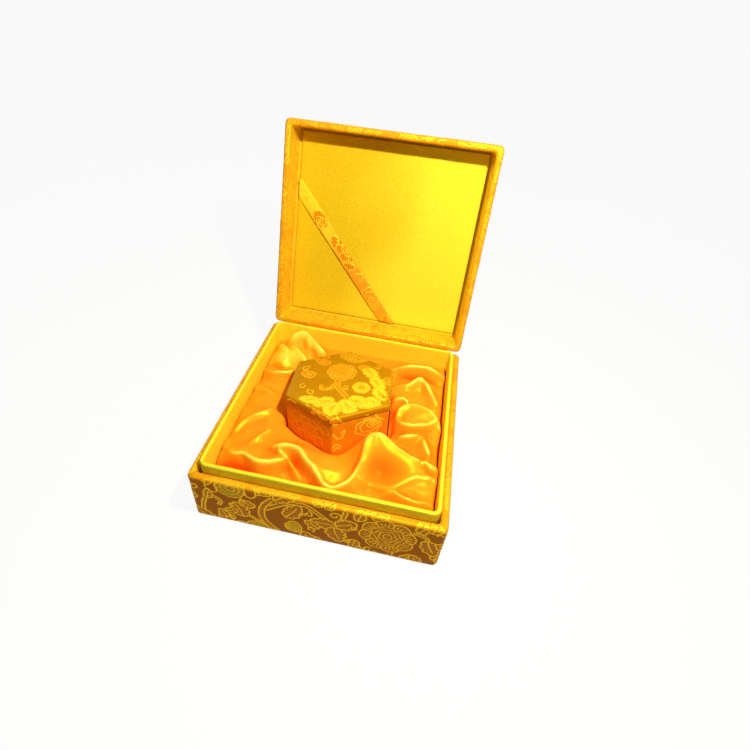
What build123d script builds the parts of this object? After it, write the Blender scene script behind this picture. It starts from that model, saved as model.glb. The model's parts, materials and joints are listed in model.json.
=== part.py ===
from build123d import *
import math
import os

os.makedirs("parts", exist_ok=True)

# A square brocade box with a hinged lid, gathered satin inside it and a small hexagonal box.
# Millimetres. X runs along the front, Y from the front to the hinge, Z up from the table.

# The two trays
box_width = 120.0
box_depth = 120.0
base_height = 31.4
lid_height = 22.0
board = 2.4
brocade = 0.6
corner_radius = 2.8
inner_corner_radius = 1.8
rim_round = 1.2
rim_gap = 0.3
turn_in = 12.0
paper = 0.3
paper_margin = 4.0
flange = 14.0
overrun = 1.0

# The cloth hinge, and how far the lid stands open
hinge_cloth = 0.4
hinge_length = 104.0
hinge_leaf = 12.0
lid_open = 106.8

# The lip inside the rim of the base
collar_rise = 5.0
collar_card = 1.2
collar_cloth_thickness = 0.4
collar_gap = 0.5
collar_radius = 4.0
collar_round = 0.8

# The lining of the lid and the band across its corner
lining_margin = 1.4
lining_card = 0.8
lining_satin = 0.5
lining_radius = 1.0
ribbon_width = 8.0
ribbon_thickness = 0.4
ribbon_angle = 50.0
ribbon_x = -22.0
ribbon_y = 15.9

# The cushion: a foam block with gathered satin over it
foam_thickness = 13.7
foam_gap = 0.2

# The hexagonal box, which leans a little in its pocket
inner_radius = 30.4
inner_height = 31.4
inner_board = 2.0
inner_brocade_thickness = 0.5
inner_rim_round = 0.4
inner_turn_in = 8.0
inner_flange = 9.0
inner_x = -1.1
inner_y = 0.7
inner_z = 8.8
inner_lean_back = 8.1
inner_lean_left = 3.0
inner_turn = 4.1
pocket_gap = 0.4

# Its lid and its bed
inner_lid_overhang = 0.6
inner_lid_gap = 0.2
inner_lid_board = 1.5
inner_lid_pad = 0.9
inner_lid_round = 1.1
plug_depth = 3.0
plug_gap = 0.4
plug_round = 1.0
bed_gap = 0.1
bed_below_plug = 1.0
hollow_radius = 15.0
hollow_depth = 12.0
hollow_round = 1.5

# What follows from these
wall = board + 2 * brocade
mouth_width = box_width - 2 * wall
mouth_depth = box_depth - 2 * wall
floor_top = paper + brocade + board
collar_width = mouth_width - 2 * collar_gap
collar_depth = mouth_depth - 2 * collar_gap
collar_top = base_height + collar_rise
collar_wall = collar_card + 2 * collar_cloth_thickness
well_width = collar_width - 2 * collar_wall
well_depth = collar_depth - 2 * collar_wall
foam_top = floor_top + foam_thickness
hinge_y = box_depth / 2 + hinge_cloth
hinge_z = base_height + rim_gap / 2
inner_wall = inner_board + 2 * inner_brocade_thickness
inner_lid_height = 2 * inner_brocade_thickness + inner_lid_board + inner_lid_pad
inner_lid_radius = inner_radius + inner_lid_overhang
ceiling = lid_height - brocade - board - lining_card - lining_satin


def save(part, name):
    """Names a finished piece and writes it."""
    part.label = name
    export_step(part, f"parts/{name}.step")


# Planes: the open lid is drawn from its rim, the hexagonal box from its own floor
open_sine = math.sin(math.radians(lid_open))
open_cosine = math.cos(math.radians(lid_open))
lid_plane = Plane(
    origin=(
        0,
        hinge_y - hinge_y * open_cosine + rim_gap / 2 * open_sine,
        hinge_z + hinge_y * open_sine + rim_gap / 2 * open_cosine,
    ),
    x_dir=(1, 0, 0),
    z_dir=(0, open_sine, open_cosine),
)
lid_outside = Plane(
    origin=lid_plane.offset(lid_height).origin,
    x_dir=lid_plane.x_dir,
    z_dir=lid_plane.z_dir * -1,
)
inner_plane = Plane((inner_x, inner_y, inner_z)).rotated(
    (-inner_lean_back, -inner_lean_left, inner_turn)
)
inner_lid_plane = inner_plane.offset(inner_height + inner_lid_gap)


def square(inset, mode=Mode.ADD):
    """The trays' outline, drawn in by an inset. A corner is tighter outside than inside."""
    if inset < board:
        radius = corner_radius - inset
    else:
        radius = inner_corner_radius + max(wall - inset, 0)
    RectangleRounded(box_width - 2 * inset, box_depth - 2 * inset, radius, mode=mode)


def hexagon(inset, radius=inner_radius, mode=Mode.ADD):
    """The small box's outline, with a corner to the front, each side moved in by an inset."""
    RegularPolygon(radius - inset / math.cos(math.pi / 6), side_count=6, rotation=30, mode=mode)


def wrap(plane, height, outline, thickness, skin, turned_in, rounding, opening=None):
    """Cloth glued round a tray: its outside, the rim, a strip inside and a flange below."""
    with BuildPart() as cover:
        with BuildSketch(plane):
            outline(0)
        extrude(amount=height)
        top = cover.faces().sort_by(Axis(plane.origin, plane.z_dir))[-1]
        fillet(top.edges(), rounding)
        with BuildSketch(plane.offset(skin)):
            outline(skin)
        extrude(amount=height - 2 * skin, mode=Mode.SUBTRACT)
        with BuildSketch(plane.offset(height - turned_in)):
            outline(thickness - skin)
        extrude(amount=turned_in - skin / 2)
        with BuildSketch(plane.offset(height - turned_in)):
            outline(thickness)
        extrude(amount=turned_in + overrun, mode=Mode.SUBTRACT)
        if opening:
            with BuildSketch(plane):
                outline(opening)
            extrude(amount=skin + overrun, mode=Mode.SUBTRACT)
    return cover.part


# Wall boards of a tray: the front and back boards run through, the side boards fit between
through = box_width - 2 * brocade
between = box_depth - 2 * brocade - 2 * board
board_x = box_width / 2 - brocade - board / 2
board_y = box_depth / 2 - brocade - board / 2
wall_boards = {
    "front": (0, -board_y, through, board),
    "back": (0, board_y, through, board),
    "left": (-board_x, 0, board, between),
    "right": (board_x, 0, board, between),
}


def wall_board(plane, side, height):
    """One board of a tray's wall, with rounded ends where it makes the tray's corners."""
    x, y, width, depth = wall_boards[side]
    with BuildPart() as one_board:
        with BuildSketch(plane) as section:
            with Locations((x, y)):
                Rectangle(width, depth)
            if width > depth:
                outer_side = 0 if y < 0 else -1
                ends = section.vertices().group_by(Axis.Y)[outer_side]
                fillet(ends, corner_radius - brocade)
        extrude(amount=height)
    return one_board.part


# Base tray
with BuildPart() as base_floor_board:
    with BuildSketch(Plane.XY.offset(paper + brocade)):
        square(brocade)
    extrude(amount=board)
save(base_floor_board.part, "base_floor_board")

for side in wall_boards:
    height = base_height - brocade - floor_top
    save(wall_board(Plane.XY.offset(floor_top), side, height), f"base_{side}_board")

base_brocade = wrap(
    Plane.XY.offset(paper), base_height - paper, square, wall, brocade, turn_in, rim_round, flange
)
save(base_brocade, "base_brocade")

with BuildPart() as base_paper:
    with BuildSketch():
        square(paper_margin)
    extrude(amount=paper)
save(base_paper.part, "base_paper")


def collar_outline(inset, mode=Mode.ADD):
    """The lip's outline, drawn in by an inset."""
    width = collar_width - 2 * inset
    depth = collar_depth - 2 * inset
    RectangleRounded(width, depth, collar_radius - inset, mode=mode)


# The lip: one bent card with cloth over it, standing on the floor board
with BuildPart() as collar_board:
    with BuildSketch(Plane.XY.offset(floor_top)):
        collar_outline(collar_cloth_thickness)
        collar_outline(collar_cloth_thickness + collar_card, mode=Mode.SUBTRACT)
    extrude(amount=collar_top - collar_cloth_thickness - floor_top)
save(collar_board.part, "collar_board")

with BuildPart() as collar_cloth:
    with BuildSketch(Plane.XY.offset(floor_top)):
        collar_outline(0)
        collar_outline(collar_wall, mode=Mode.SUBTRACT)
    extrude(amount=collar_top - floor_top)
    fillet(collar_cloth.faces().sort_by(Axis.Z)[-1].edges(), collar_round)
    with BuildSketch(Plane.XY.offset(floor_top)):
        collar_outline(collar_cloth_thickness)
        collar_outline(collar_cloth_thickness + collar_card, mode=Mode.SUBTRACT)
    extrude(amount=collar_top - collar_cloth_thickness - floor_top, mode=Mode.SUBTRACT)
save(collar_cloth.part, "collar_cloth")


def well_outline():
    """The space inside the lip that the cushion fills."""
    width = well_width - 2 * foam_gap
    depth = well_depth - 2 * foam_gap
    RectangleRounded(width, depth, collar_radius - collar_wall - foam_gap)


# Foam block with a leaning pocket for the hexagonal box
with BuildPart() as cushion_foam:
    with BuildSketch(Plane.XY.offset(floor_top)):
        well_outline()
    extrude(amount=foam_thickness)
    with BuildSketch(inner_plane.offset(-pocket_gap)):
        hexagon(-inner_lid_overhang - pocket_gap)
    extrude(amount=inner_height, mode=Mode.SUBTRACT)
save(cushion_foam.part, "cushion_foam")

# Gathered satin over the foam, as one sheet that rises in folds. Each fold is a line of points on
# its crest: x and y as shares of the well's half width and depth, then the crest's height above
# the foam and how far the fold reaches to the left and to the right of its way along the crest,
# as shares of the foam's thickness. A fold that falls steeply on one side laps over its neighbour.
fold_shares = [
    [(-0.98, -0.80, 0.75, 1.30, 0.28), (-0.80, -0.78, 1.02, 1.30, 0.28),
     (-0.60, -0.81, 1.10, 1.10, 0.28), (-0.38, -0.74, 1.10, 0.80, 0.30)],
    [(-0.46, -0.62, 1.10, 0.40, 0.30), (-0.30, -0.63, 1.22, 0.60, 0.32),
     (-0.12, -0.78, 1.20, 0.80, 0.32), (0.04, -0.92, 1.05, 0.80, 0.28)],
    [(0.04, -0.92, 1.05, 0.60, 0.30), (0.19, -0.84, 1.15, 0.40, 0.40),
     (0.27, -0.58, 1.30, 0.30, 0.80), (0.37, -0.33, 1.40, 0.30, 0.80)],
    [(0.37, -0.33, 1.40, 0.30, 1.10), (0.54, -0.38, 1.34, 0.35, 1.20),
     (0.74, -0.46, 1.20, 0.35, 1.20), (0.99, -0.52, 0.95, 0.35, 1.00)],
    [(0.50, -0.88, 0.85, 0.40, 0.30), (0.64, -0.84, 1.00, 0.40, 0.30),
     (0.80, -0.88, 0.90, 0.40, 0.30), (0.99, -0.90, 0.75, 0.40, 0.30)],
    [(0.54, -0.06, 0.95, 0.30, 0.50), (0.72, -0.06, 1.00, 0.30, 0.50),
     (0.92, 0.02, 0.80, 0.30, 0.45)],
    [(0.58, 0.14, 0.90, 0.35, 0.45), (0.78, 0.24, 1.05, 0.30, 0.55),
     (0.93, 0.06, 0.90, 0.30, 0.45), (0.99, -0.12, 0.70, 0.30, 0.40)],
    [(0.48, 0.58, 0.75, 0.30, 0.50), (0.66, 0.66, 0.90, 0.30, 0.60),
     (0.82, 0.52, 0.85, 0.30, 0.60), (0.95, 0.28, 0.65, 0.30, 0.45)],
    [(0.50, 0.80, 0.62, 0.40, 0.30), (0.82, 0.84, 0.72, 0.40, 0.30),
     (0.97, 0.72, 0.58, 0.40, 0.30)],
    [(-0.88, 0.86, 0.55, 0.30, 0.40), (-0.72, 0.96, 0.72, 0.30, 0.50),
     (-0.56, 0.92, 0.78, 0.30, 0.50), (-0.42, 0.72, 0.60, 0.30, 0.45)],
    [(-0.98, 0.74, 0.55, 0.40, 0.50), (-0.80, 0.64, 0.75, 0.40, 0.50),
     (-0.62, 0.60, 0.58, 0.40, 0.45)],
    [(-0.98, 0.34, 0.55, 0.50, 0.60), (-0.80, 0.34, 0.75, 0.50, 0.60),
     (-0.62, 0.38, 0.55, 0.45, 0.50)],
    [(-0.98, -0.10, 0.60, 0.70, 0.90), (-0.80, -0.28, 0.80, 0.80, 1.00),
     (-0.56, -0.56, 0.85, 0.70, 0.90)],
]
valley_share = 0.34
satin_strip_count = 26
satin_arc_count = 14


def satin_height(x, y):
    """Height of the satin above the foam at a place, which is that of the highest fold there."""
    rise = 0
    for points in fold_shares:
        for start, end in zip(points, points[1:]):
            here = Vector(x, y)
            foot = Vector(start[0] * well_width / 2, start[1] * well_depth / 2)
            crest_line = Vector(end[0] * well_width / 2, end[1] * well_depth / 2) - foot
            way = (here - foot).dot(crest_line) / crest_line.length**2
            way = min(max(way, 0), 1)
            off = here - foot - crest_line * way
            crest, left, right = (a + (b - a) * way for a, b in zip(start[2:], end[2:]))
            side = crest_line.cross(off).Z / (crest_line.length * off.length) if off.length else 0
            reach = ((left + right) / 2 + side * (left - right) / 2) * foam_thickness
            rise = max(rise, (crest - valley_share) / (1 + (off.length / reach) ** 2) ** 1.5)
    return (valley_share + rise) * foam_thickness


def satin_section(x):
    """The satin cut from front to back: a chain of arcs over the flat foam."""
    half = well_depth / 2 - foam_gap
    steps = 2 * satin_arc_count
    places = [half - 2 * half * step / steps for step in range(steps + 1)]
    tops = [(y, satin_height(x, y)) for y in places]
    cut = Plane(origin=(x, 0, foam_top), x_dir=(0, 1, 0), z_dir=(1, 0, 0))
    with BuildSketch(cut) as section:
        with BuildLine():
            for first in range(0, steps, 2):
                ThreePointArc(*tops[first:first + 3])
            Polyline(tops[-1], (-half, 0), (half, 0), tops[0])
        make_face()
    return section.sketch


with BuildPart() as satin_drape:
    half = well_width / 2 - foam_gap
    stations = [-half + 2 * half * strip / satin_strip_count for strip in range(satin_strip_count + 1)]
    loft(sections=[satin_section(x) for x in stations], ruled=True)
    with BuildSketch(Plane.XY.offset(foam_top)):
        well_outline()
    extrude(amount=2 * foam_thickness, mode=Mode.INTERSECT)
    with BuildSketch(inner_plane):
        hexagon(-inner_lid_overhang - pocket_gap)
    extrude(amount=inner_height + inner_lid_height, mode=Mode.SUBTRACT)
save(satin_drape.part, "satin_drape")

# Lid tray, open
with BuildPart() as lid_top_board:
    with BuildSketch(lid_plane.offset(lid_height - brocade - board)):
        square(brocade)
    extrude(amount=board)
save(lid_top_board.part, "lid_top_board")

for side in wall_boards:
    height = lid_height - 2 * brocade - board
    save(wall_board(lid_plane.offset(brocade), side, height), f"lid_{side}_board")

lid_brocade = wrap(
    lid_outside, lid_height, square, wall, brocade, lid_height - brocade - board, rim_round
)
save(lid_brocade, "lid_brocade")


def lining_outline(inset=0, mode=Mode.ADD):
    """The lid's lining panel, drawn in by an inset."""
    width = mouth_width - 2 * lining_margin - 2 * inset
    depth = mouth_depth - 2 * lining_margin - 2 * inset
    RectangleRounded(width, depth, lining_radius - inset, mode=mode)


with BuildPart() as lid_lining_card:
    with BuildSketch(lid_plane.offset(ceiling + lining_satin)):
        lining_outline(lining_satin)
    extrude(amount=lining_card)
save(lid_lining_card.part, "lid_lining_card")

with BuildPart() as lid_lining_satin:
    with BuildSketch(lid_plane.offset(ceiling)):
        lining_outline()
    extrude(amount=lining_satin + lining_card)
    with BuildSketch(lid_plane.offset(ceiling + lining_satin)):
        lining_outline(lining_satin)
    extrude(amount=lining_card + overrun, mode=Mode.SUBTRACT)
save(lid_lining_satin.part, "lid_lining_satin")

with BuildPart() as lid_ribbon:
    with BuildSketch(lid_plane.offset(ceiling - ribbon_thickness)):
        with Locations(Location((ribbon_x, ribbon_y), ribbon_angle)):
            Rectangle(mouth_width, ribbon_width)
        lining_outline(mode=Mode.INTERSECT)
    extrude(amount=ribbon_thickness)
save(lid_ribbon.part, "lid_ribbon")

# Cloth hinge: one leaf on each tray's back, up to the line where it bends
with BuildPart() as base_hinge_cloth:
    with BuildSketch(Plane.XY.offset(base_height - hinge_leaf)):
        with Locations((0, box_depth / 2 + hinge_cloth / 2)):
            Rectangle(hinge_length, hinge_cloth)
    extrude(amount=hinge_leaf)
save(base_hinge_cloth.part, "base_hinge_cloth")

with BuildPart() as lid_hinge_cloth:
    with BuildSketch(lid_plane):
        with Locations((0, box_depth / 2 + hinge_cloth / 2)):
            Rectangle(hinge_length, hinge_cloth)
    extrude(amount=hinge_leaf)
save(lid_hinge_cloth.part, "lid_hinge_cloth")

# Hexagonal box
with BuildPart() as inner_floor_board:
    with BuildSketch(inner_plane.offset(inner_brocade_thickness)):
        hexagon(inner_brocade_thickness)
    extrude(amount=inner_board)
save(inner_floor_board.part, "inner_floor_board")

mitre_outside = inner_radius - inner_brocade_thickness / math.cos(math.pi / 6)
mitre_inside = mitre_outside - inner_board / math.cos(math.pi / 6)
for side in range(6):
    corners = [math.radians(30 + 60 * side), math.radians(90 + 60 * side)]
    outer = [(mitre_outside * math.cos(a), mitre_outside * math.sin(a)) for a in corners]
    inner = [(mitre_inside * math.cos(a), mitre_inside * math.sin(a)) for a in corners]
    with BuildPart() as inner_wall_board:
        with BuildSketch(inner_plane.offset(inner_brocade_thickness + inner_board)):
            Polygon(*outer, *reversed(inner), align=None)
        extrude(amount=inner_height - 2 * inner_brocade_thickness - inner_board)
    save(inner_wall_board.part, f"inner_wall_{side + 1}")

inner_brocade = wrap(
    inner_plane,
    inner_height,
    hexagon,
    inner_wall,
    inner_brocade_thickness,
    inner_turn_in,
    inner_rim_round,
    inner_flange,
)
save(inner_brocade, "inner_brocade")

bed_floor = inner_brocade_thickness + inner_board
bed_top = inner_height - plug_depth - bed_below_plug
with BuildPart() as inner_cushion:
    with BuildSketch(inner_plane.offset(bed_floor)):
        hexagon(inner_wall + bed_gap)
    extrude(amount=bed_top - bed_floor)
    with BuildSketch(inner_plane.offset(bed_top - hollow_depth)):
        Circle(hollow_radius)
    extrude(amount=hollow_depth, mode=Mode.SUBTRACT)
    up = Axis(inner_plane.origin, inner_plane.z_dir)
    mouth = inner_cushion.edges().filter_by(GeomType.CIRCLE).sort_by(up)[-1]
    fillet(mouth, hollow_round)
save(inner_cushion.part, "inner_cushion")

# Lid of the hexagonal box, drawn from its underside
with BuildPart() as inner_lid_board_piece:
    with BuildSketch(inner_lid_plane.offset(inner_brocade_thickness)):
        hexagon(inner_brocade_thickness, inner_lid_radius)
    extrude(amount=inner_lid_board)
save(inner_lid_board_piece.part, "inner_lid_board")

with BuildPart() as inner_lid_pad_piece:
    with BuildSketch(inner_lid_plane.offset(inner_brocade_thickness + inner_lid_board)):
        hexagon(inner_brocade_thickness, inner_lid_radius)
    extrude(amount=inner_lid_pad)
    up = Axis(inner_lid_plane.origin, inner_lid_plane.z_dir)
    fillet(inner_lid_pad_piece.faces().sort_by(up)[-1].edges(), inner_lid_pad / 2)
save(inner_lid_pad_piece.part, "inner_lid_pad")

with BuildPart() as inner_lid_brocade:
    with BuildSketch(inner_lid_plane):
        hexagon(0, inner_lid_radius)
    extrude(amount=inner_lid_height)
    up = Axis(inner_lid_plane.origin, inner_lid_plane.z_dir)
    fillet(inner_lid_brocade.faces().sort_by(up)[-1].edges(), inner_lid_round)
    with BuildSketch(inner_lid_plane.offset(inner_brocade_thickness)):
        hexagon(inner_brocade_thickness, inner_lid_radius)
    extrude(amount=inner_lid_board, mode=Mode.SUBTRACT)
    add(inner_lid_pad_piece.part, mode=Mode.SUBTRACT)
    with BuildSketch(inner_lid_plane):
        hexagon(inner_flange, inner_lid_radius)
    extrude(amount=inner_brocade_thickness + overrun, mode=Mode.SUBTRACT)
save(inner_lid_brocade.part, "inner_lid_brocade")

with BuildPart() as inner_lid_plug:
    with BuildSketch(inner_lid_plane):
        hexagon(inner_wall + plug_gap)
    extrude(amount=-plug_depth - inner_lid_gap)
    down = Axis(inner_lid_plane.origin, inner_lid_plane.z_dir * -1)
    fillet(inner_lid_plug.faces().sort_by(down)[-1].edges(), plug_round)
save(inner_lid_plug.part, "inner_lid_plug")

print("hinge line y, z:", round(hinge_y, 4), round(hinge_z, 4))
print("hexagonal box axis:", [round(c, 6) for c in inner_plane.z_dir])
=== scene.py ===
# %% [markdown]
# A square brocade box, open, with gathered satin round a small hexagonal box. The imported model
# gives every size and place, so each piece here is made where the model already has it.

# %% Load the model
import bisect
import json
import math

import bmesh
import bpy
import numpy as np
from mathutils import Matrix, Vector, noise

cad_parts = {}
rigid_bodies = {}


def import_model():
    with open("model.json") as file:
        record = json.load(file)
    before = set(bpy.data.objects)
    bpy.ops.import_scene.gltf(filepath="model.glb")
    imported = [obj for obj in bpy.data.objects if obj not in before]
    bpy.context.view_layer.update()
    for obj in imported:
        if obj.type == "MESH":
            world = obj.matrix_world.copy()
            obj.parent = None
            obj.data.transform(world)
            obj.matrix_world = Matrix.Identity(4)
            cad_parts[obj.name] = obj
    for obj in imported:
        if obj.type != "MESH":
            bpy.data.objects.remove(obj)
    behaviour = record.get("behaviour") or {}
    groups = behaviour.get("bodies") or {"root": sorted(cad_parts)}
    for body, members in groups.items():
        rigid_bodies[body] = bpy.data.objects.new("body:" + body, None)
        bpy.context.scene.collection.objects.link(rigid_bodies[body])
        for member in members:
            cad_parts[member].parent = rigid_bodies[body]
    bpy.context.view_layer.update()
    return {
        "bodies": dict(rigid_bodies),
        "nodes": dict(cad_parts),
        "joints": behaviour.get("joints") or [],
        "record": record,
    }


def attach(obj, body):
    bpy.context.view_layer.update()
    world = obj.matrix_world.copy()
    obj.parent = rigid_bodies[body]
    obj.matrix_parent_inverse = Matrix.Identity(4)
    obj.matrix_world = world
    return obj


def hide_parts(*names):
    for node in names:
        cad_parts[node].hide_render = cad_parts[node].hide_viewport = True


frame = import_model()
scene = bpy.context.scene

# %% [markdown]
# The camera looks down on the open box from the front right, with a wide lens held close, so the
# far side of the lid looks smaller. Its direction is given by the three axes of its picture, which
# is plainer than angles when a camera is also rolled a little.

# %% Camera
MM = 0.001
camera_place = Vector((31.117, -168.912, 219.513)) * MM
picture_right = Vector((0.97916, 0.19008, 0.07158))
picture_up = Vector((-0.17599, 0.61810, 0.76615))
looking = Vector((-0.10138, 0.76277, -0.63867))
camera_data = bpy.data.cameras.new("camera")
camera = bpy.data.objects.new("camera", camera_data)
scene.collection.objects.link(camera)
turn = Matrix((picture_right, picture_up, -looking)).transposed()
camera.matrix_world = Matrix.Translation(camera_place) @ turn.to_4x4()
camera_data.sensor_width = 36
camera_data.lens = 22.477
camera_data.shift_x = 0.01228
camera_data.shift_y = -0.04407
camera_data.clip_start = 0.01
scene.camera = camera
scene.view_settings.view_transform = "Standard"
print("camera at", [round(c, 4) for c in camera.location], "lens", camera_data.lens, "mm")

# %% [markdown]
# Colours are written as sRGB codes, as a colour picker shows them, and one function turns them to
# the linear values that shaders use. A second function adds any node with its settings and links.


# %% Colours and nodes
def linear(code):
    """A colour such as "FFA51E" in the linear values that a shader takes."""
    shares = [int(code[place : place + 2], 16) / 255 for place in (0, 2, 4)]
    return (*[s / 12.92 if s <= 0.04045 else ((s + 0.055) / 1.055) ** 2.4 for s in shares], 1.0)


def add_node(tree, kind, inputs=None, **settings):
    """Adds a node. An input given as another node's output is linked, any other is set."""
    made = tree.nodes.new("ShaderNode" + kind)
    for name, value in settings.items():
        setattr(made, name, value)
    for name, value in (inputs or {}).items():
        if isinstance(value, bpy.types.NodeSocket):
            tree.links.new(value, made.inputs[name])
        else:
            made.inputs[name].default_value = value
    return made


def empty_tree(owner):
    """The cleared node tree of a new material or world."""
    owner.use_nodes = True
    owner.node_tree.nodes.clear()
    return owner.node_tree


SHADER_INPUTS = {"roughness": "Roughness", "metallic": "Metallic",
                 "specular_level": "Specular IOR Level", "specular_tint": "Specular Tint"}


def start_material(name, **shader_inputs):
    """A material with one Principled shader, its node tree and that shader."""
    material = bpy.data.materials.new(name)
    tree = empty_tree(material)
    shader = add_node(tree, "BsdfPrincipled",
                      {SHADER_INPUTS[key]: value for key, value in shader_inputs.items()})
    add_node(tree, "OutputMaterial", {"Surface": shader.outputs["BSDF"]})
    return material, tree, shader


def link(tree, output, shader, name):
    """Joins a node's output to an input of the shader."""
    tree.links.new(output, shader.inputs[name])


def blend_colours(tree, factor, first, second):
    """The first colour where the factor is 0, and the second where it is 1."""
    mixed = add_node(tree, "Mix", {0: factor, 6: first, 7: second}, data_type="RGBA")
    return mixed.outputs[2]


print("orange in linear values:", [round(share, 3) for share in linear("FFA51E")])


# %% [markdown]
# A pale floor and an even pale world make a plain studio. One small lamp hangs close above the
# front of the box: it leaves the narrow shadow under the lid's upper rim and lights the tops far
# more than the front wall. The floor and world look near white to the camera and in gloss, and
# send little light back on to the box, which keeps the colours of its sides.


# %% Floor and world
FLOOR_HALF_WIDTH = 20


def show_white(tree, plain, bright):
    """The bright shader for the camera and in gloss, and the plain one for all other light."""
    path = add_node(tree, "LightPath")
    seen = add_node(tree, "Math", {0: path.outputs["Is Camera Ray"],
                                   1: path.outputs["Is Glossy Ray"]}, operation="MAXIMUM")
    return add_node(tree, "MixShader", {0: seen.outputs[0], 1: plain, 2: bright}).outputs[0]


floor_material = bpy.data.materials.new("matt_paper_floor")
tree = empty_tree(floor_material)
dim = add_node(tree, "BsdfDiffuse", {"Color": linear("5E5C59")})
pale = add_node(tree, "BsdfDiffuse", {"Color": linear("54524F")})
white = add_node(tree, "Emission", {"Color": (1, 1, 1, 1), "Strength": 0.93})
lifted = add_node(tree, "AddShader", {0: pale.outputs[0], 1: white.outputs[0]})
surface = show_white(tree, dim.outputs[0], lifted.outputs[0])
add_node(tree, "OutputMaterial", {"Surface": surface})

floor_mesh = bpy.data.meshes.new("floor")
bm = bmesh.new()
bmesh.ops.create_grid(bm, x_segments=1, y_segments=1, size=FLOOR_HALF_WIDTH)
bm.to_mesh(floor_mesh)
bm.free()
floor = bpy.data.objects.new("floor", floor_mesh)
floor.data.materials.append(floor_material)
scene.collection.objects.link(floor)

world = bpy.data.worlds.new("pale_room")
tree = empty_tree(world)
soft = add_node(tree, "Background", {"Color": linear("FFF8EC"), "Strength": 0.19})
white = add_node(tree, "Background", {"Color": (1, 1, 1, 1), "Strength": 1.0})
surface = show_white(tree, soft.outputs[0], white.outputs[0])
add_node(tree, "OutputWorld", {"Surface": surface})
scene.world = world
print("floor width, m:", 2 * FLOOR_HALF_WIDTH)

# %% Lamp
lamp_data = bpy.data.lights.new("lamp", "AREA")
lamp_data.shape = "DISK"
lamp_data.size = 12 * MM
lamp_data.energy = 0.80
lamp_data.color = linear("FFF6E4")[:3]
lamp = bpy.data.objects.new("lamp", lamp_data)
lamp.location = Vector((74, -62, 280)) * MM
lamp_target = Vector((4, 22, 50)) * MM
lamp_aim = lamp_target - lamp.location
lamp.rotation_euler = lamp_aim.to_track_quat("-Z", "Y").to_euler()
lamp.visible_camera = False
scene.collection.objects.link(lamp)
print("lamp to box, mm:", round(lamp_aim.length / MM))

# %% [markdown]
# The cloth is a figured satin. Its ground shows long warp threads in fine slanting rows. The
# figure is woven in with other threads: flat fills a little lighter than the ground, bright
# outlines of a glossier yellow thread, and a few grounds in old gold. Real threads are about
# 0.15 mm apart, too fine to show, so the rows are drawn 0.45 mm apart. Over the rims and inside
# the lid the ground and the fills are painted yellower. This painted lit colour stands for the
# lamp's light on the rims and, inside the lid, for the lamp and the bounce off the yellow lining.
# So those two places have a weave of their own.

# %% Woven brocade
THREAD_ROWS = 0.45
WAVE_PERIOD = 0.314
STROKE_ROWS = 1.35
GOLDEN = linear("FFD24A")
PALE_YELLOW = linear("FFF060")


def flat_cloth(tree):
    """The cloth's own flat coordinates, in millimetres."""
    return add_node(tree, "UVMap", uv_map="flat_cloth").outputs[0]


def woven(name, dark, light, slant, roughness, relief, fleck=None, metallic=0.0,
          specular_level=0.05, specular_tint=GOLDEN):
    """A satin weave: slanting rows of threads, a few uneven threads, and soft changes of tone.
    Threads of the fleck colour come up through it in short strokes."""
    material, tree, shader = start_material(
        name, roughness=roughness, metallic=metallic, specular_level=specular_level,
        specular_tint=specular_tint)
    cloth = flat_cloth(tree)
    turned = add_node(tree, "Mapping", {"Vector": cloth, "Rotation": (0, 0, math.radians(slant))})
    rows = add_node(tree, "TexWave", {"Vector": turned.outputs[0], "Distortion": 0.8,
                                      "Scale": WAVE_PERIOD / THREAD_ROWS, "Detail": 1.0})
    long_threads = add_node(tree, "Mapping", {"Vector": cloth, "Scale": (3.2, 0.22, 1)})
    slubs = add_node(tree, "TexNoise", {"Vector": long_threads.outputs[0], "Scale": 1.0,
                                        "Detail": 3.0})
    tone = add_node(tree, "TexNoise", {"Vector": cloth, "Scale": 0.07, "Detail": 2.0})
    both = add_node(tree, "Math", {0: rows.outputs["Fac"], 1: slubs.outputs["Fac"]},
                    operation="MULTIPLY")
    share = add_node(tree, "MapRange", {"Value": both.outputs[0], "From Min": 0.05,
                                        "From Max": 0.55})
    mixed = blend_colours(tree, share.outputs[0], linear(dark), linear(light))
    if fleck:
        leaning = add_node(tree, "Mapping", {"Vector": cloth, "Rotation": (0, 0, math.radians(50))})
        strokes = add_node(tree, "TexWave", {"Vector": leaning.outputs[0], "Distortion": 3.0,
                                             "Scale": WAVE_PERIOD / STROKE_ROWS,
                                             "Detail": 1.0, "Detail Scale": 2.0})
        spotted = add_node(tree, "MapRange", {"Value": strokes.outputs["Fac"], "From Min": 0.45,
                                              "From Max": 0.70})
        mixed = blend_colours(tree, spotted.outputs[0], mixed, linear(fleck))
    shift = add_node(tree, "MapRange", {"Value": tone.outputs["Fac"], "From Min": 0.3,
                                        "From Max": 0.7, "To Min": 0.94, "To Max": 1.05})
    toned = add_node(tree, "HueSaturation", {"Color": mixed, "Value": shift.outputs[0]})
    link(tree, toned.outputs[0], shader, "Base Color")
    rough = add_node(tree, "MapRange", {"Value": slubs.outputs["Fac"], "To Min": roughness - 0.08,
                                        "To Max": roughness + 0.10})
    link(tree, rough.outputs[0], shader, "Roughness")
    bump = add_node(tree, "Bump", {"Height": both.outputs[0], "Strength": relief,
                                   "Distance": 0.08 * MM})
    link(tree, bump.outputs[0], shader, "Normal")
    return material


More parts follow.
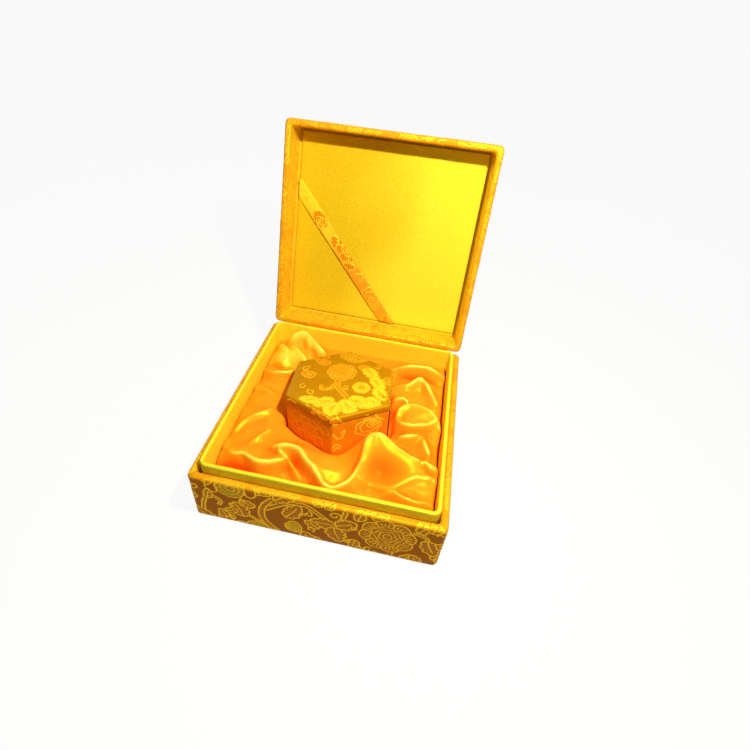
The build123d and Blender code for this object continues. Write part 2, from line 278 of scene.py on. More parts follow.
# Grounds are rayon warp threads side by side, so they shine softly along their rows
ground_weave = woven("rayon_satin_ground", "EA8409", "FFA41A", 32, 0.36, 0.5, metallic=0.12,
                     specular_level=0.02)
# Rim and inside-lid grounds: the same ground painted yellower, a painted lit colour
painted_lit_rim_weave = woven("rayon_satin_painted_lit_rim", "F29A12", "FFBC22", 32, 0.34, 0.6, metallic=0.12)
painted_lit_inside_weave = woven("rayon_satin_painted_lit_inside_lid", "FAC41C", "FFE23A", 32, 0.36, 0.5, metallic=0.10)
small_weave = woven("rayon_satin_small_box", "E6800C", "F89818", 58, 0.42, 0.5,
                    specular_level=0.15)
small_lid_weave = woven("rayon_satin_small_lid", "B87C06", "D89E10", 58, 0.38, 0.5, metallic=0.2,
                        specular_level=0.1)
# Fills are crossed by weft threads, so they look rougher, most with strokes of a darker colour
fill_weave = woven("rayon_figure_fill", "F49C0E", "FFC026", -24, 0.40, 0.7, "DE7406",
                   metallic=0.24)
old_gold_weave = woven("old_gold_figure_fill", "E8B414", "F8D028", 12, 0.42, 0.8, "BC840A",
                       metallic=0.35)
# The next two fills are lighter fills painted as lit. This painted lit colour is used for fills
# inside the lid, over the rims and on the lamp side of the small lid
painted_lit_fill_weave = woven("gilt_figure_fill_painted_lit", "FCDC1C", "FFF644", -24, 0.38, 0.9, "FFCC1E",
                          metallic=0.10, specular_level=0.6, specular_tint=PALE_YELLOW)
painted_lit_rim_fill_weave = woven("gilt_figure_painted_lit_over_rim", "F6B818", "FFDA30", -24, 0.38, 0.9, "F4A216",
                       metallic=0.20, specular_level=0.15)
faint_weave = woven("rayon_pale_figure", "F2941A", "FFAC26", 12, 0.40, 0.5, metallic=0.05,
                    specular_level=0.2)
# Outlines are gilt thread, which glints like worn metal leaf
outline_weave = woven("gilt_thread_outline", "FFB816", "FFDE36", 78, 0.34, 0.9, metallic=0.60,
                      specular_level=0.1, specular_tint=linear("FFE840"))
pale_thread_weave = woven("pale_gilt_thread_outline", "FFDC28", "FFF248", 78, 0.36, 0.6,
                          metallic=0.45, specular_level=0.1, specular_tint=PALE_YELLOW)
print("brocade rows:", THREAD_ROWS, "mm")

# %% [markdown]
# The gathered satin is thin, glossy and deep orange. Light that falls into a fold bounces between
# its two sides and comes back redder, and taut crests look yellow, so the colour follows a value
# kept on the cloth: 0 in a crease, 1 on a crest.

# %% Satin
satin, tree, shader = start_material("polyester_satin", roughness=0.36, specular_level=0.10,
                                     specular_tint=linear("FFE048"))
fold = add_node(tree, "Attribute", attribute_name="fold").outputs["Fac"]
gloss = add_node(tree, "MapRange", {"Value": fold, "From Min": 0.30, "From Max": 0.70,
                                    "To Min": 0.02, "To Max": 0.30})
link(tree, gloss.outputs[0], shader, "Metallic")
ramp = add_node(tree, "ValToRGB", {"Fac": fold})
ramp.color_ramp.elements[0].color = linear("FA620A")
ramp.color_ramp.elements[0].position = 0.0
ramp.color_ramp.elements[1].color = linear("FFF050")
ramp.color_ramp.elements[1].position = 1.0
for place, code in ((0.20, "FF8612"), (0.42, "FFA41C"), (0.68, "FFB826")):
    stop = ramp.color_ramp.elements.new(place)
    stop.color = linear(code)
cloth = flat_cloth(tree)
stretched = add_node(tree, "Mapping", {"Vector": cloth, "Scale": (0.25, 4.0, 1)})
threads = add_node(tree, "TexNoise", {"Vector": stretched.outputs[0], "Scale": 1.0, "Detail": 2.0})
toned = add_node(tree, "HueSaturation", {
    "Color": ramp.outputs[0],
    "Value": add_node(tree, "MapRange", {"Value": threads.outputs["Fac"], "To Min": 0.95,
                                         "To Max": 1.05}).outputs[0]})
link(tree, toned.outputs[0], shader, "Base Color")
bump = add_node(tree, "Bump", {"Height": threads.outputs["Fac"], "Strength": 0.25,
                               "Distance": 0.05 * MM})
link(tree, bump.outputs[0], shader, "Normal")
print("satin nodes:", len(tree.nodes))

# %% [markdown]
# The lip, the lid's lining and the band are plainer cloths. Each has a fine grain that catches
# the lamp as small sparks. The lining and the band are painted yellower towards one side: a
# painted highlight, standing in for the lamp's broad reflection on the satin. The boards, the
# foam and the backing paper hardly show, and still get their own fibres, pores and grain.


# %% Plain cloths, boards, foam and paper
def grained(name, dark, light, grain, roughness, relief, stretch=(1, 1, 1), painted_sheen=None,
            painted_sheen_span=(-0.015, 0.04), **shader_inputs):
    """A finish with one grain, given by the size of its spots in millimetres. A painted highlight
    brings in a second colour across the width of the cloth, between two places in metres,
    standing in for the lamp's broad reflection on a satin."""
    material, tree, shader = start_material(name, roughness=roughness, **shader_inputs)
    place = add_node(tree, "TexCoord").outputs["Object"]
    scaled = add_node(tree, "Mapping", {"Vector": place, "Scale": stretch})
    spots = add_node(tree, "TexNoise", {"Vector": scaled.outputs[0], "Scale": 1 / (grain * MM),
                                        "Detail": 3.0, "Roughness": 0.6})
    share = add_node(tree, "MapRange", {"Value": spots.outputs["Fac"], "From Min": 0.36,
                                        "From Max": 0.64})
    mixed = blend_colours(tree, share.outputs[0], linear(dark), linear(light))
    # Painted highlight: a yellower colour across the cloth, speckled by its grain
    if painted_sheen:
        across = add_node(tree, "SeparateXYZ", {"Vector": place}).outputs["X"]
        waves = add_node(tree, "TexNoise", {"Vector": place, "Scale": 14.0, "Detail": 1.0})
        moved = add_node(tree, "MapRange", {"Value": waves.outputs["Fac"], "To Min": -0.05,
                                            "To Max": 0.05})
        bent = add_node(tree, "Math", {0: across, 1: moved.outputs[0]}, operation="ADD")
        way = add_node(tree, "MapRange", {"Value": bent.outputs[0], "From Min": painted_sheen_span[0],
                                          "From Max": painted_sheen_span[1]},
                       interpolation_type="SMOOTHSTEP")
        speckled = add_node(tree, "MapRange", {"Value": share.outputs[0], "To Min": 0.60})
        full = add_node(tree, "Math", {0: way.outputs[0], 1: speckled.outputs[0]},
                        operation="MULTIPLY")
        mixed = blend_colours(tree, full.outputs[0], mixed, linear(painted_sheen))
    link(tree, mixed, shader, "Base Color")
    rough = add_node(tree, "MapRange", {"Value": spots.outputs["Fac"],
                                        "To Min": roughness - 0.06, "To Max": roughness + 0.08})
    link(tree, rough.outputs[0], shader, "Roughness")
    bump = add_node(tree, "Bump", {"Height": spots.outputs["Fac"], "Strength": relief,
                                   "Distance": 0.06 * MM})
    link(tree, bump.outputs[0], shader, "Normal")
    return material


lip_cloth = grained("acetate_lip_cloth", "F6DE18", "FFF644", 0.6, 0.46, 0.6,
                    specular_level=0.3, specular_tint=PALE_YELLOW, metallic=0.06)
# The lining and the band are painted yellower towards one side: a painted highlight
lining_cloth = grained("acetate_lining_satin", "DEB40E", "F2D628", 0.55, 0.42, 0.5,
                       painted_sheen="FAF03A", specular_level=0.1, specular_tint=PALE_YELLOW)
band_cloth = grained("acetate_band", "F2981C", "FFB026", 0.5, 0.40, 0.5, painted_sheen="FFE632",
                     painted_sheen_span=(-0.016, -0.030), specular_level=0.3, specular_tint=GOLDEN)
foam_material = grained("polyurethane_foam", "D9D2BC", "F4EFDF", 0.8, 0.9, 0.9,
                        specular_level=0.2)
board_material = grained("grey_board", "7D776C", "9C968A", 1.4, 0.85, 0.5, specular_level=0.25)
paper_material = grained("kraft_backing_paper", "B8924E", "D2B06C", 2.2, 0.75, 0.35,
                         specular_level=0.3)
print("materials:", len(bpy.data.materials))

# %% [markdown]
# Three frames carry all the pieces: the box on the table, the lid drawn from its outside towards
# its rim, and the small box, which leans in its pocket. A piece is drawn flat in millimetres, put
# in its frame, and only then turned to metres, so its object stays at the origin.

# %% Frames
box_width = 120.0
base_height = 31.4
lid_height = 22.0
wall = 3.6
paper = 0.3
rim_gap = 0.15
hinge_y = 60.4
hinge_z = 31.55
lid_open = math.radians(106.8)
table_frame = Matrix.Translation((0, 0, paper))
lid_up = Vector((0, math.sin(lid_open), math.cos(lid_open)))
lid_back = Vector((0, math.cos(lid_open), -math.sin(lid_open)))
lid_corner = Vector((0, hinge_y, hinge_z)) - lid_back * hinge_y + lid_up * rim_gap
lid_frame = Matrix.Translation(lid_corner) @ Matrix(
    (Vector((1, 0, 0)), lid_back, lid_up)).transposed().to_4x4()
lid_top_frame = Matrix.Translation(lid_corner + lid_up * lid_height) @ Matrix(
    (Vector((1, 0, 0)), -lid_back, -lid_up)).transposed().to_4x4()
small_height = 31.4
small_lid_lift = 31.6
small_frame = Matrix.Translation((-1.1, 0.7, 8.8))
for degrees, axis in ((-8.1, "X"), (-3.0, "Y"), (4.1, "Z")):
    small_frame = small_frame @ Matrix.Rotation(math.radians(degrees), 4, axis)
small_lid_frame = small_frame @ Matrix.Translation((0, 0, small_lid_lift))
print("lid axis:", [round(c, 4) for c in lid_up], "small box axis:",
      [round(c, 4) for c in small_frame.to_3x3() @ Vector((0, 0, 1))])


# %% Finish a piece
def finish_piece(bm, name, body, materials, replaces=(), thickness=0.0):
    """Turns a drawn bmesh to metres and gives it a body and its materials."""
    bmesh.ops.scale(bm, vec=(MM, MM, MM), verts=bm.verts)
    mesh = bpy.data.meshes.new(name)
    for face in bm.faces:
        face.smooth = True
    bm.to_mesh(mesh)
    bm.free()
    for material in materials:
        mesh.materials.append(material)
    piece = bpy.data.objects.new(name, mesh)
    scene.collection.objects.link(piece)
    if thickness:
        solidify = piece.modifiers.new("cloth thickness", "SOLIDIFY")
        solidify.thickness = thickness * MM
        solidify.offset = -1
    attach(piece, body)
    if replaces:
        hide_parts(*replaces)
    print(name, "faces:", len(mesh.polygons))
    return piece


# %% [markdown]
# Cloth is glued round each tray in one band: under the floor, up the wall, over the rim and down
# the inside. A band is easiest to draw flat, where its pattern is flat too, and then to fold, so
# one function says where a flat place goes: along the wall, round a corner, over the rim. A tray's
# section is a list of insets from its outside and heights, in the order that the cloth meets them.


# %% Fold a flat band round a tray
RIM_ROUND = 1.2
RIPPLE_SPAN = 8


def round_off(centre_inset, centre_height, radius, start, steps=5):
    """Points of a quarter circle in a tray's section, on the way from its outside to its inside."""
    turns = [math.radians(start + 90 * step / steps) for step in range(steps + 1)]
    return [(centre_inset - radius * math.cos(a), centre_height + radius * math.sin(a))
            for a in turns]


def rim_over(top, thick, radius, steps=5):
    """Points over the top of a wall, with both of its edges rounded."""
    return (round_off(radius, top - radius, radius, 0, steps)
            + round_off(thick - radius, top - radius, radius, 90, steps))


class Tray:
    """A tray with equal sides, and where flat cloth goes when it is folded round it. Its reach is
    from its middle to a side, its corners have a radius outside and inside the wall, and the
    first side faces the angle first_facing. The cloth's unevenness is its ripple."""

    def __init__(self, sides, reach, corner, inner_corner, wall, section, frame, first_facing,
                 zero_row=0, ripple=0.06):
        self.sides, self.reach, self.corner = sides, reach, corner
        self.inner_corner, self.wall, self.frame = inner_corner, wall, frame
        self.first_facing, self.ripple = math.radians(first_facing), ripple
        self.slope = math.tan(math.pi / sides)
        self.flat_half = (reach - corner) * self.slope
        self.side_length = 2 * self.flat_half + corner * 2 * math.pi / sides
        self.round_length = sides * self.side_length
        self.rows, self.downs = [], [0.0]
        for first, second in zip(section, section[1:]):
            self.downs.append(self.downs[-1] + math.dist(first, second))
        zero = self.downs[zero_row]
        self.downs = [down - zero for down in self.downs]
        self.rim_height = max(height for inset, height in section)
        bends = [down for down, point in zip(self.downs, section)
                 if point[1] > self.rim_height - RIM_ROUND - 0.05]
        self.rim_start, self.rim_end = bends[0], bends[-1]
        ways = []
        for first, second in zip(section, section[1:]):
            length = math.dist(first, second)
            ways.append(((second[1] - first[1]) / length, (second[0] - first[0]) / length))
        for index, (inset, height) in enumerate(section):
            before, after = ways[max(index - 1, 0)], ways[min(index, len(ways) - 1)]
            facing = Vector((before[0] + after[0], before[1] + after[1])).normalized()
            self.rows.append((inset, height, facing.x, facing.y))

    def ring(self, along, inset):
        """The place and the facing on the outline, drawn in by an inset."""
        side, here = divmod(along, self.side_length)
        here -= self.side_length / 2
        share = min(inset / self.wall, 1)
        radius = max(self.corner + (self.inner_corner - self.corner) * share, 0.05)
        half = (self.reach - inset - radius) * self.slope
        bend = 0.0
        if abs(here) > self.flat_half:
            bend = math.copysign((abs(here) - self.flat_half) / self.corner, here)
            across = math.copysign(half, here)
        else:
            across = here / self.flat_half * half
        facing = self.first_facing + side * 2 * math.pi / self.sides
        x = self.reach - inset - radius + radius * math.cos(bend)
        y = across + radius * math.sin(bend)
        c, s = math.cos(facing), math.sin(facing)
        return x * c - y * s, x * s + y * c, math.cos(facing + bend), math.sin(facing + bend)

    def place(self, along, up, lift=0.0):
        """Where a flat place goes, with a little unevenness in the glued cloth."""
        index = min(max(bisect.bisect_right(self.downs, up) - 1, 0), len(self.rows) - 2)
        share = (up - self.downs[index]) / (self.downs[index + 1] - self.downs[index])
        inset, height, out, rise = (
            a + (b - a) * share for a, b in zip(self.rows[index], self.rows[index + 1]))
        lift += self.ripple * noise.noise(
            Vector((along / RIPPLE_SPAN, up / RIPPLE_SPAN, self.reach)))
        x, y, face_x, face_y = self.ring(along, inset)
        return self.frame @ Vector((x + face_x * out * lift, y + face_y * out * lift,
                                    height + rise * lift))

    def corner_lines(self, steps=4):
        """Flat places of the lines where the cloth bends round the corners."""
        lines = []
        for side in range(self.sides + 1):
            middle = side * self.side_length
            half_arc = self.corner * math.pi / self.sides
            lines += [middle + half_arc * (2 * step / steps - 1) for step in range(steps + 1)]
        return [line for line in lines if 0.001 < line < self.round_length - 0.001]


print("points over a rim:", len(rim_over(base_height, wall, RIM_ROUND)))

# %% [markdown]
# The flat cloth is a grid. Its lines fall where the cloth bends, so each bend is sharp where the
# real one is, and its flat place is kept as a UV map for the weave.


# %% Lay cloth on a grid
# Points closer than this are one point
MERGE = 0.0005


def spread(lines, start, end, longest):
    """Places from start to end that keep to the given lines and leave no gap over the longest."""
    kept = [start] + [line for line in sorted(lines) if start < line < end] + [end]
    places = [kept[0]]
    for first, second in zip(kept, kept[1:]):
        parts = max(1, math.ceil((second - first) / longest - 1e-6))
        places += [first + (second - first) * part / parts for part in range(1, parts + 1)]
    return places


def laid_cloth(columns, rows, place):
    """A grid of cloth that keeps its flat place as a UV map, moved to where it lies."""
    bm = bmesh.new()
    bmesh.ops.create_grid(bm, x_segments=len(columns) - 1, y_segments=len(rows) - 1, size=1)
    uv = bm.loops.layers.uv.new("flat_cloth")
    for vert in bm.verts:
        column = round((vert.co.x + 1) / 2 * (len(columns) - 1))
        row = round((vert.co.y + 1) / 2 * (len(rows) - 1))
        for loop in vert.link_loops:
            loop[uv].uv = (columns[column], rows[row])
        vert.co = place(columns[column], rows[row])
    return bm


def wrapped_cloth(tray):
    """The whole band of a tray's cloth, joined into a ring. On the two square trays, cloth over
    the rim has the second material and cloth inside the wall the third. Both are the ground
    painted yellower, as a painted lit colour."""
    columns = spread(tray.corner_lines(), 0, tray.round_length, 4.0)
    rows = spread(tray.downs, tray.downs[0], tray.downs[-1], 4.0)
    bm = laid_cloth(columns, rows, tray.place)
    if tray.sides == 4:
        uv = bm.loops.layers.uv["flat_cloth"]
        for face in bm.faces:
            lowest = min(loop[uv].uv.y for loop in face.loops) + 0.01
            face.material_index = (lowest > tray.rim_start) + (lowest > tray.rim_end)
    bmesh.ops.remove_doubles(bm, verts=bm.verts, dist=MERGE)
    return bm


# %% [markdown]
# Four trays are wrapped: the base, the lid, the small box and its lid. Each section comes from
# under the tray and up its outside. Where the wall has an open rim, it goes on over the rim and
# down the inside. Flat places are measured from the zero row, where the wall starts.

# %% The four wrapped trays
HEXAGON_SHARE = math.cos(math.pi / 6)
small_wall = 3.0
small_corner = 30.4
small_lid_corner = 31.0
soft_edge = [(0.7, 0), (0.35, 0.09), (0.09, 0.35), (0, 0.7)]
base_section = [(14, 0)] + soft_edge + rim_over(base_height - paper, wall, RIM_ROUND) + [
    (wall, base_height - paper - 12)]
base_tray = Tray(4, box_width / 2, 2.8, 1.8, wall, base_section, table_frame, -90, zero_row=4)
lid_section = soft_edge + rim_over(lid_height, wall, RIM_ROUND) + [(wall, 3.12), (4.9, 3.05)]
lid_tray = Tray(4, box_width / 2, 2.8, 1.8, wall, lid_section, lid_top_frame, -90, zero_row=3)
small_reach = small_corner * HEXAGON_SHARE
small_section = [(9, 0), (0.5, 0), (0.15, 0.15), (0, 0.5)] + rim_over(
    small_height, small_wall, 0.6, 4) + [(small_wall, 23.4)]
small_tray = Tray(6, small_reach, 0.9, 0.5, small_wall, small_section, small_frame, 120,
                  zero_row=3)
small_lid_reach = small_lid_corner * HEXAGON_SHARE
small_lid_section = [(9, 0), (0.4, 0), (0.1, 0.1), (0, 0.4)] + round_off(1.1, 2.3, 1.1, 0, 5)
small_lid_tray = Tray(6, small_lid_reach, 1.1, 0.6, small_wall, small_lid_section,
                      small_lid_frame, 120, zero_row=3, ripple=0.10)
for tray_name, tray in (("base", base_tray), ("lid", lid_tray), ("small box", small_tray),
                        ("small lid", small_lid_tray)):
    print(tray_name, "band:", round(tray.round_length, 1), "x",
          round(tray.downs[-1] - tray.downs[0], 1), "mm")

# %% [markdown]
# The brocade's figure is a traditional one: peonies, scrolling vines with scalloped leaves, small
# buds, and round shells with looped cords. Each shape is drawn from a formula as one closed
# line, so its petals and lobes can be counted and sized like the woven ones. A shape hides the
# lines of those behind it, as in the weave.

# %% Lines of the figure
TURN = 2 * math.pi
REPEAT = base_tray.side_length
ROW = 31.0
ROW_SHIFT = 52.0


def rosette(x, y, radius, petals, depth, lobes=0, lobe_depth=0.0, phase=0.0):
    """A closed line with rounded petals, and smaller lobes on them."""
    points = []
    steps = max(30, round(radius * 11))
    for step in range(steps):
        turn = TURN * step / steps
        reach = radius * (1 - depth * (1 - abs(math.cos((turn * petals + phase) / 2)) ** 0.7))
        if lobes:
            reach *= 1 - lobe_depth * (1 - abs(math.cos((turn * lobes + phase) / 2)) ** 0.7)
        points.append((x + reach * math.cos(turn), y + reach * math.sin(turn)))
    return points


def leaf(x, y, angle, length, width, lobes=4, bend=0.0, notch=0.35, full=0.8):
    """A closed line from the stalk round a leaf or petal whose sides bulge in lobes. It is widest
    near its tip where full is above 1."""
    steps = max(14, round(length * 3))
    sides = []
    for step in range(steps + 1):
        way = step / steps
        half = width / 2 * math.sin(math.pi * way**full) ** 0.6 if 0 < way < 1 else 0
        half *= 1 - notch * (1 - abs(math.sin(math.pi * lobes * way)) ** 0.6)
        sides.append((way, half))
    points = []
    for side, row in ((1, sides), (-1, sides[-2:0:-1])):
        for way, half in row:
            spine = angle + bend * way / 2
            across = angle + bend * way + math.pi / 2
            points.append((x + length * way * math.cos(spine) + side * half * math.cos(across),
                           y + length * way * math.sin(spine) + side * half * math.sin(across)))
    return points


def vein(x, y, angle, length, bend=0.0, share=0.78):
    """The middle line of a leaf."""
    ways = [share * step / 8 for step in range(9)]
    return [(x + length * way * math.cos(angle + bend * way / 2),
             y + length * way * math.sin(angle + bend * way / 2)) for way in ways]


def smoothed(points, parts=5):
    """A soft line through a few given points, with any further values they carry."""
    line = []
    for index in range(len(points) - 1):
        near = [points[min(max(index + offset, 0), len(points) - 1)] for offset in (-1, 0, 1, 2)]
        for part in range(parts):
            t = part / parts
            weights = (-t + 2 * t**2 - t**3, 2 - 5 * t**2 + 3 * t**3,
                       t + 4 * t**2 - 3 * t**3, t**3 - t**2)
            line.append(tuple(sum(w * p[axis] for w, p in zip(weights, near)) / 2
                              for axis in range(len(points[0]))))
    return line + [points[-1]]


def vine(points, start, end):
    """A closed line round a stem that narrows from one width to another."""
    line = [Vector(point) for point in smoothed(points)]
    left, right = [], []
    for index, point in enumerate(line):
        way = line[min(index + 1, len(line) - 1)] - line[max(index - 1, 0)]
        across = Vector((-way.y, way.x)).normalized()
        half = (start + (end - start) * index / (len(line) - 1)) / 2
        left.append(tuple(point + across * half))
        right.append(tuple(point - across * half))
    return left + right[::-1]


def curl(x, y, radius, start, turns, hand=1):
    """A line that winds in to a fifth of its radius."""
    steps = 24
    points = []
    for step in range(steps + 1):
        reach = radius * (1 - 0.8 * step / steps)
        turn = start + hand * turns * TURN * step / steps
        points.append((x + reach * math.cos(turn), y + reach * math.sin(turn)))
    return points


print("repeat, mm:", round(REPEAT, 1), "x", ROW)

# %% [markdown]
# The large figure is written from the back to the front: stems first, then leaves, a peony, a
# shell and a bud. Cords and curls are loose lines. A stem has its points and its width at both
# ends, and a leaf its stalk's place, its angle, length, width, lobes and bend, all in millimetres
# and radians.


# %% One repeat of the large figure
PLAIN, OUTLINE, OLD_GOLD, BRIGHT, OVER_RIM = 1, 2, 3, 4, 5
VINES = [
    ([(36, 17), (42, 22), (49, 26.8), (56, 27), (61, 23.5), (67, 18)], 2.4, 1.8),
    ([(36, 4), (31, 6), (27, 9)], 1.6, 1.0),
    ([(3, -3), (4.5, 6), (5.5, 12), (8, 17.5), (12, 18), (14.5, 15), (13, 12)], 2.0, 1.2),
    ([(44, -3), (39, 2), (35, 8), (34.5, 15), (37, 22), (42, 28), (49, 33)], 3.2, 2.2),
    ([(74, 36), (74, 27), (72, 20), (70, 15)], 2.2, 1.6),
    ([(100, 22), (106, 24), (111, 22), (113, 17)], 1.8, 1.4),
]
LEAVES = [
    (25, 6, 1.75, 12, 9.5, 4, 0.3), (8, 16, 1.4, 8, 5, 3, 0), (46, 14, 0.9, 14, 8.5, 4, 0.3),
    (41, 26, 0.65, 17, 8, 5, 0.2), (70, 16, 3.3, 12, 9, 4, -0.4), (69, 14, 4.9, 12, 10, 4, 0.3),
    (70, 16, 0.35, 11, 9, 4, 0.4), (80, 24, 1.35, 8, 6, 3, 0), (112, 20, 4.9, 13, 9, 4, 0.5),
    (107, 25, 1.0, 9, 6.5, 3, 0.3), (14, -3, 1.2, 9, 8, 3, 0), (103, -3, 1.2, 8, 6, 3, 0),
    (58, -4, 1.9, 9, 8, 3, 0.2), (31, 16, 2.6, 8, 6, 3, 0.2), (62, 10, 2.4, 8, 6, 3, 0.2),
    (86, 29, 0.4, 8, 6, 3, -0.2), (36, 33, 1.2, 7, 6, 3, 0), (2, 14, 2.2, 7, 5, 3, 0.2),
    (80, 7, 4.4, 8, 6, 3, 0.2), (60, 29, 0.9, 8, 6, 3, 0.2), (16, 8, 0.3, 7, 5, 3, 0.2),
]


def peony(x, y, radius):
    """Filled petals in rings, with short strokes inside them."""
    shapes, strokes = [], []
    for petal in range(8):
        angle = TURN * petal / 8 + 0.2
        foot = (x + 0.3 * radius * math.cos(angle), y + 0.3 * radius * math.sin(angle))
        shapes.append((leaf(*foot, angle, 0.70 * radius, 0.66 * radius, 3, 0.0, 0.22, 1.7), PLAIN))
        for lean in (-0.17, 0.0, 0.17):
            strokes.append(vein(x + 0.64 * radius * math.cos(angle + lean),
                                y + 0.64 * radius * math.sin(angle + lean),
                                angle + 0.6 * lean, 0.27 * radius, 3 * lean))
    for share, petals, phase in ((0.66, 7, 0.8), (0.50, 6, 0.2), (0.34, 5, 1.0), (0.17, 5, 0.3)):
        shapes.append((rosette(x, y, share * radius, petals, 0.18, 2 * petals, 0.10, phase), PLAIN))
    return shapes, strokes


def large_figure():
    """Closed shapes from the back to the front with their cloth, and open lines."""
    shapes = [(vine(*stem), PLAIN) for stem in VINES]
    lines = []
    for x, y, angle, length, width, lobes, bend in LEAVES:
        shapes.append((leaf(x, y, angle, length, width, lobes, bend), PLAIN))
        lines.append(vein(x, y, angle, length, bend))
    flower, strokes = peony(94.2, 16.3, 13.2)
    shapes += flower
    lines += strokes
    for radius, petals in ((7.0, 14), (4.6, 10), (2.2, 6)):
        shapes.append((rosette(20.3, 28.0, radius, petals, 0.06), OLD_GOLD))
    for size in (5.0, 3.7, 2.4, 1.2):
        shapes.append((leaf(48.5, 2.4, 1.2, 1.9 * size, 1.6 * size, 1, 0.4, 0.0), OLD_GOLD))
    lines += [curl(69.5, 24, 3.2, -0.6, 1.2), curl(57, 21.0, 2.4, 1.6, 1.0, -1),
              curl(118, 27, 2.8, 3.6, 1.1, -1), curl(117, 6.0, 2.8, 0.5, 1.1)]
    lines += [smoothed([(13.6, 32), (9.5, 31), (8, 26), (10, 22.5), (13.5, 23), (13, 27), (14, 31)]),
              smoothed([(27, 32), (31.5, 31), (32.5, 26.5), (30, 23.5), (27.5, 25), (27.6, 28)]),
              curl(25.5, 19.6, 1.8, 1.6, 0.9), curl(20, 14, 2.2, 0.4, 1.1), curl(2, 24, 2.4, 4.0, 1),
              curl(33, 28, 2.0, 2.2, 1.0, -1), curl(58, 8, 2.2, 5.2, 1.1), curl(86, 1, 2.4, 0.8, 1),
              curl(62, 30, 2.4, 2.0, 1.1), curl(76, 5, 2.0, 3.6, 1.0), curl(54, 19, 1.6, 0, 1.0),
              curl(19, 3, 2.2, 2.6, 1.1, -1), curl(79, 17, 1.8, 2.2, 1.0)]
    return shapes, lines


print("large figure:", len(VINES), "stems and", len(LEAVES), "leaves")

# %% [markdown]
# The lines become bevelled curves: a thread with a low, roof-shaped section that stands 0.15 mm
# proud of the cloth, and about half of that on a rim. The fills are flat curves a hair above the
# ground, each a little higher than the one that it hides. All of one repeat is turned to a mesh
# once, then copied as often as a piece of cloth needs.


# %% Curves to thread
LINE_WIDTH = 0.80
LINE_RISE = 0.15
RIM_PRESS = 0.55
FILL_RISE = 0.015
FILL_STEP = 0.0012
# A cut takes points this near to it as lying on it
CUT = 0.0001


def curve_mesh(lines, closed, filled):
    """Filled flat curves or bevelled lines, as a mesh."""
    curve = bpy.data.curves.new("drawing", "CURVE")
    curve.dimensions = "2D" if filled else "3D"
    curve.fill_mode = "BOTH" if filled else "FULL"
    curve.twist_mode = "Z_UP"
    if not filled:
        curve.bevel_depth = LINE_WIDTH / 2
        curve.bevel_resolution = 0
    for points in lines:
        spline = curve.splines.new("POLY")
        spline.points.add(len(points) - 1)
        for knot, (x, y) in zip(spline.points, points):
            knot.co = (x, y, 0, 1)
        spline.use_cyclic_u = closed
    holder = bpy.data.objects.new("drawing", curve)
    mesh = bpy.data.meshes.new_from_object(holder)
    bpy.data.objects.remove(holder)
    bpy.data.curves.remove(curve)
    return mesh


def inside(point, shape):
    """Whether a place lies inside a closed line."""
    x, y = point
    hit = False
    for (x1, y1), (x2, y2) in zip(shape, shape[1:] + shape[:1]):
        if (y1 > y) != (y2 > y) and x < (x2 - x1) * (y - y1) / (y2 - y1) + x1:
            hit = not hit
    return hit


def visible_runs(points, covers):
    """The parts of a line that no cover hides."""
    runs, run = [], []
    for point in points:
        hidden = any(x0 < point[0] < x1 and y0 < point[1] < y1 and inside(point, shape)
                     for (x0, y0, x1, y1), shape in covers)
        if hidden:
            if len(run) > 2:
                runs.append(run)
            run = []
        else:
            run.append(point)
    if len(run) > 2:
        runs.append(run)
    return runs


def with_box(shape):
    """A closed line with its lowest and highest places, which make tests on it quicker."""
    xs, ys = [p[0] for p in shape], [p[1] for p in shape]
    return (min(xs), min(ys), max(xs), max(ys)), shape


def stepped(line):
    """The small wander of a woven line, which steps from thread to thread."""
    wander, span = 0.30, 1.3
    return [(x + wander * noise.noise(Vector((x / span, y / span, 0.5))),
             y + wander * noise.noise(Vector((x / span, y / span, 7.5)))) for x, y in line]


def threads_of(shapes, lines, repeats, fills=True):
    """One repeat's fills and outlines as a bmesh. repeats moves a point to the copies round it."""
    shapes = [(stepped(shape), cloth) for shape, cloth in shapes]
    lines = [stepped(line) for line in lines]
    bm = bmesh.new()
    placed = [[with_box([move(point) for point in shape]) for shape, cloth in shapes]
              for move in repeats]
    for index, (shape, cloth) in enumerate(shapes if fills else []):
        before = len(bm.faces)
        mesh = curve_mesh([shape], True, True)
        for vert in mesh.vertices:
            vert.co.z = FILL_RISE + FILL_STEP * index
        bm.from_mesh(mesh)
        bpy.data.meshes.remove(mesh)
        bm.faces.ensure_lookup_table()
        for face in bm.faces[before:]:
            face.material_index = cloth - 1
    runs = []
    for index, (shape, cloth) in enumerate(shapes):
        covers = placed[0][index + 1:]
        for copy in placed[1:]:
            covers = covers + copy[index + 1:]
        runs += visible_runs(shape + shape[:1], covers)
    for line in lines:
        runs += visible_runs(line, [])
    mesh = curve_mesh(runs, False, False)
    before = len(bm.faces)
    bm.from_mesh(mesh)
    bpy.data.meshes.remove(mesh)
    bm.faces.ensure_lookup_table()
    threads = bm.faces[before:]
    for face in threads:
        face.material_index = OUTLINE - 1
    edges = {edge for face in threads for edge in face.edges}
    verts = {vert for face in threads for vert in face.verts}
    bmesh.ops.bisect_plane(bm, geom=list(threads) + list(edges) + list(verts), dist=CUT,
                           plane_co=(0, 0, 0.002), plane_no=(0, 0, 1), clear_inner=True)
    for vert in bm.verts:
        if vert.co.z > 0.1:
            vert.co.z *= LINE_RISE / (LINE_WIDTH / 2)
    return bm


# %% [markdown]
# A woven figure repeats across the cloth, so one repeat is kept as a mesh and copied. Every other
# row is turned round and moved along, which makes the repeat harder to see.


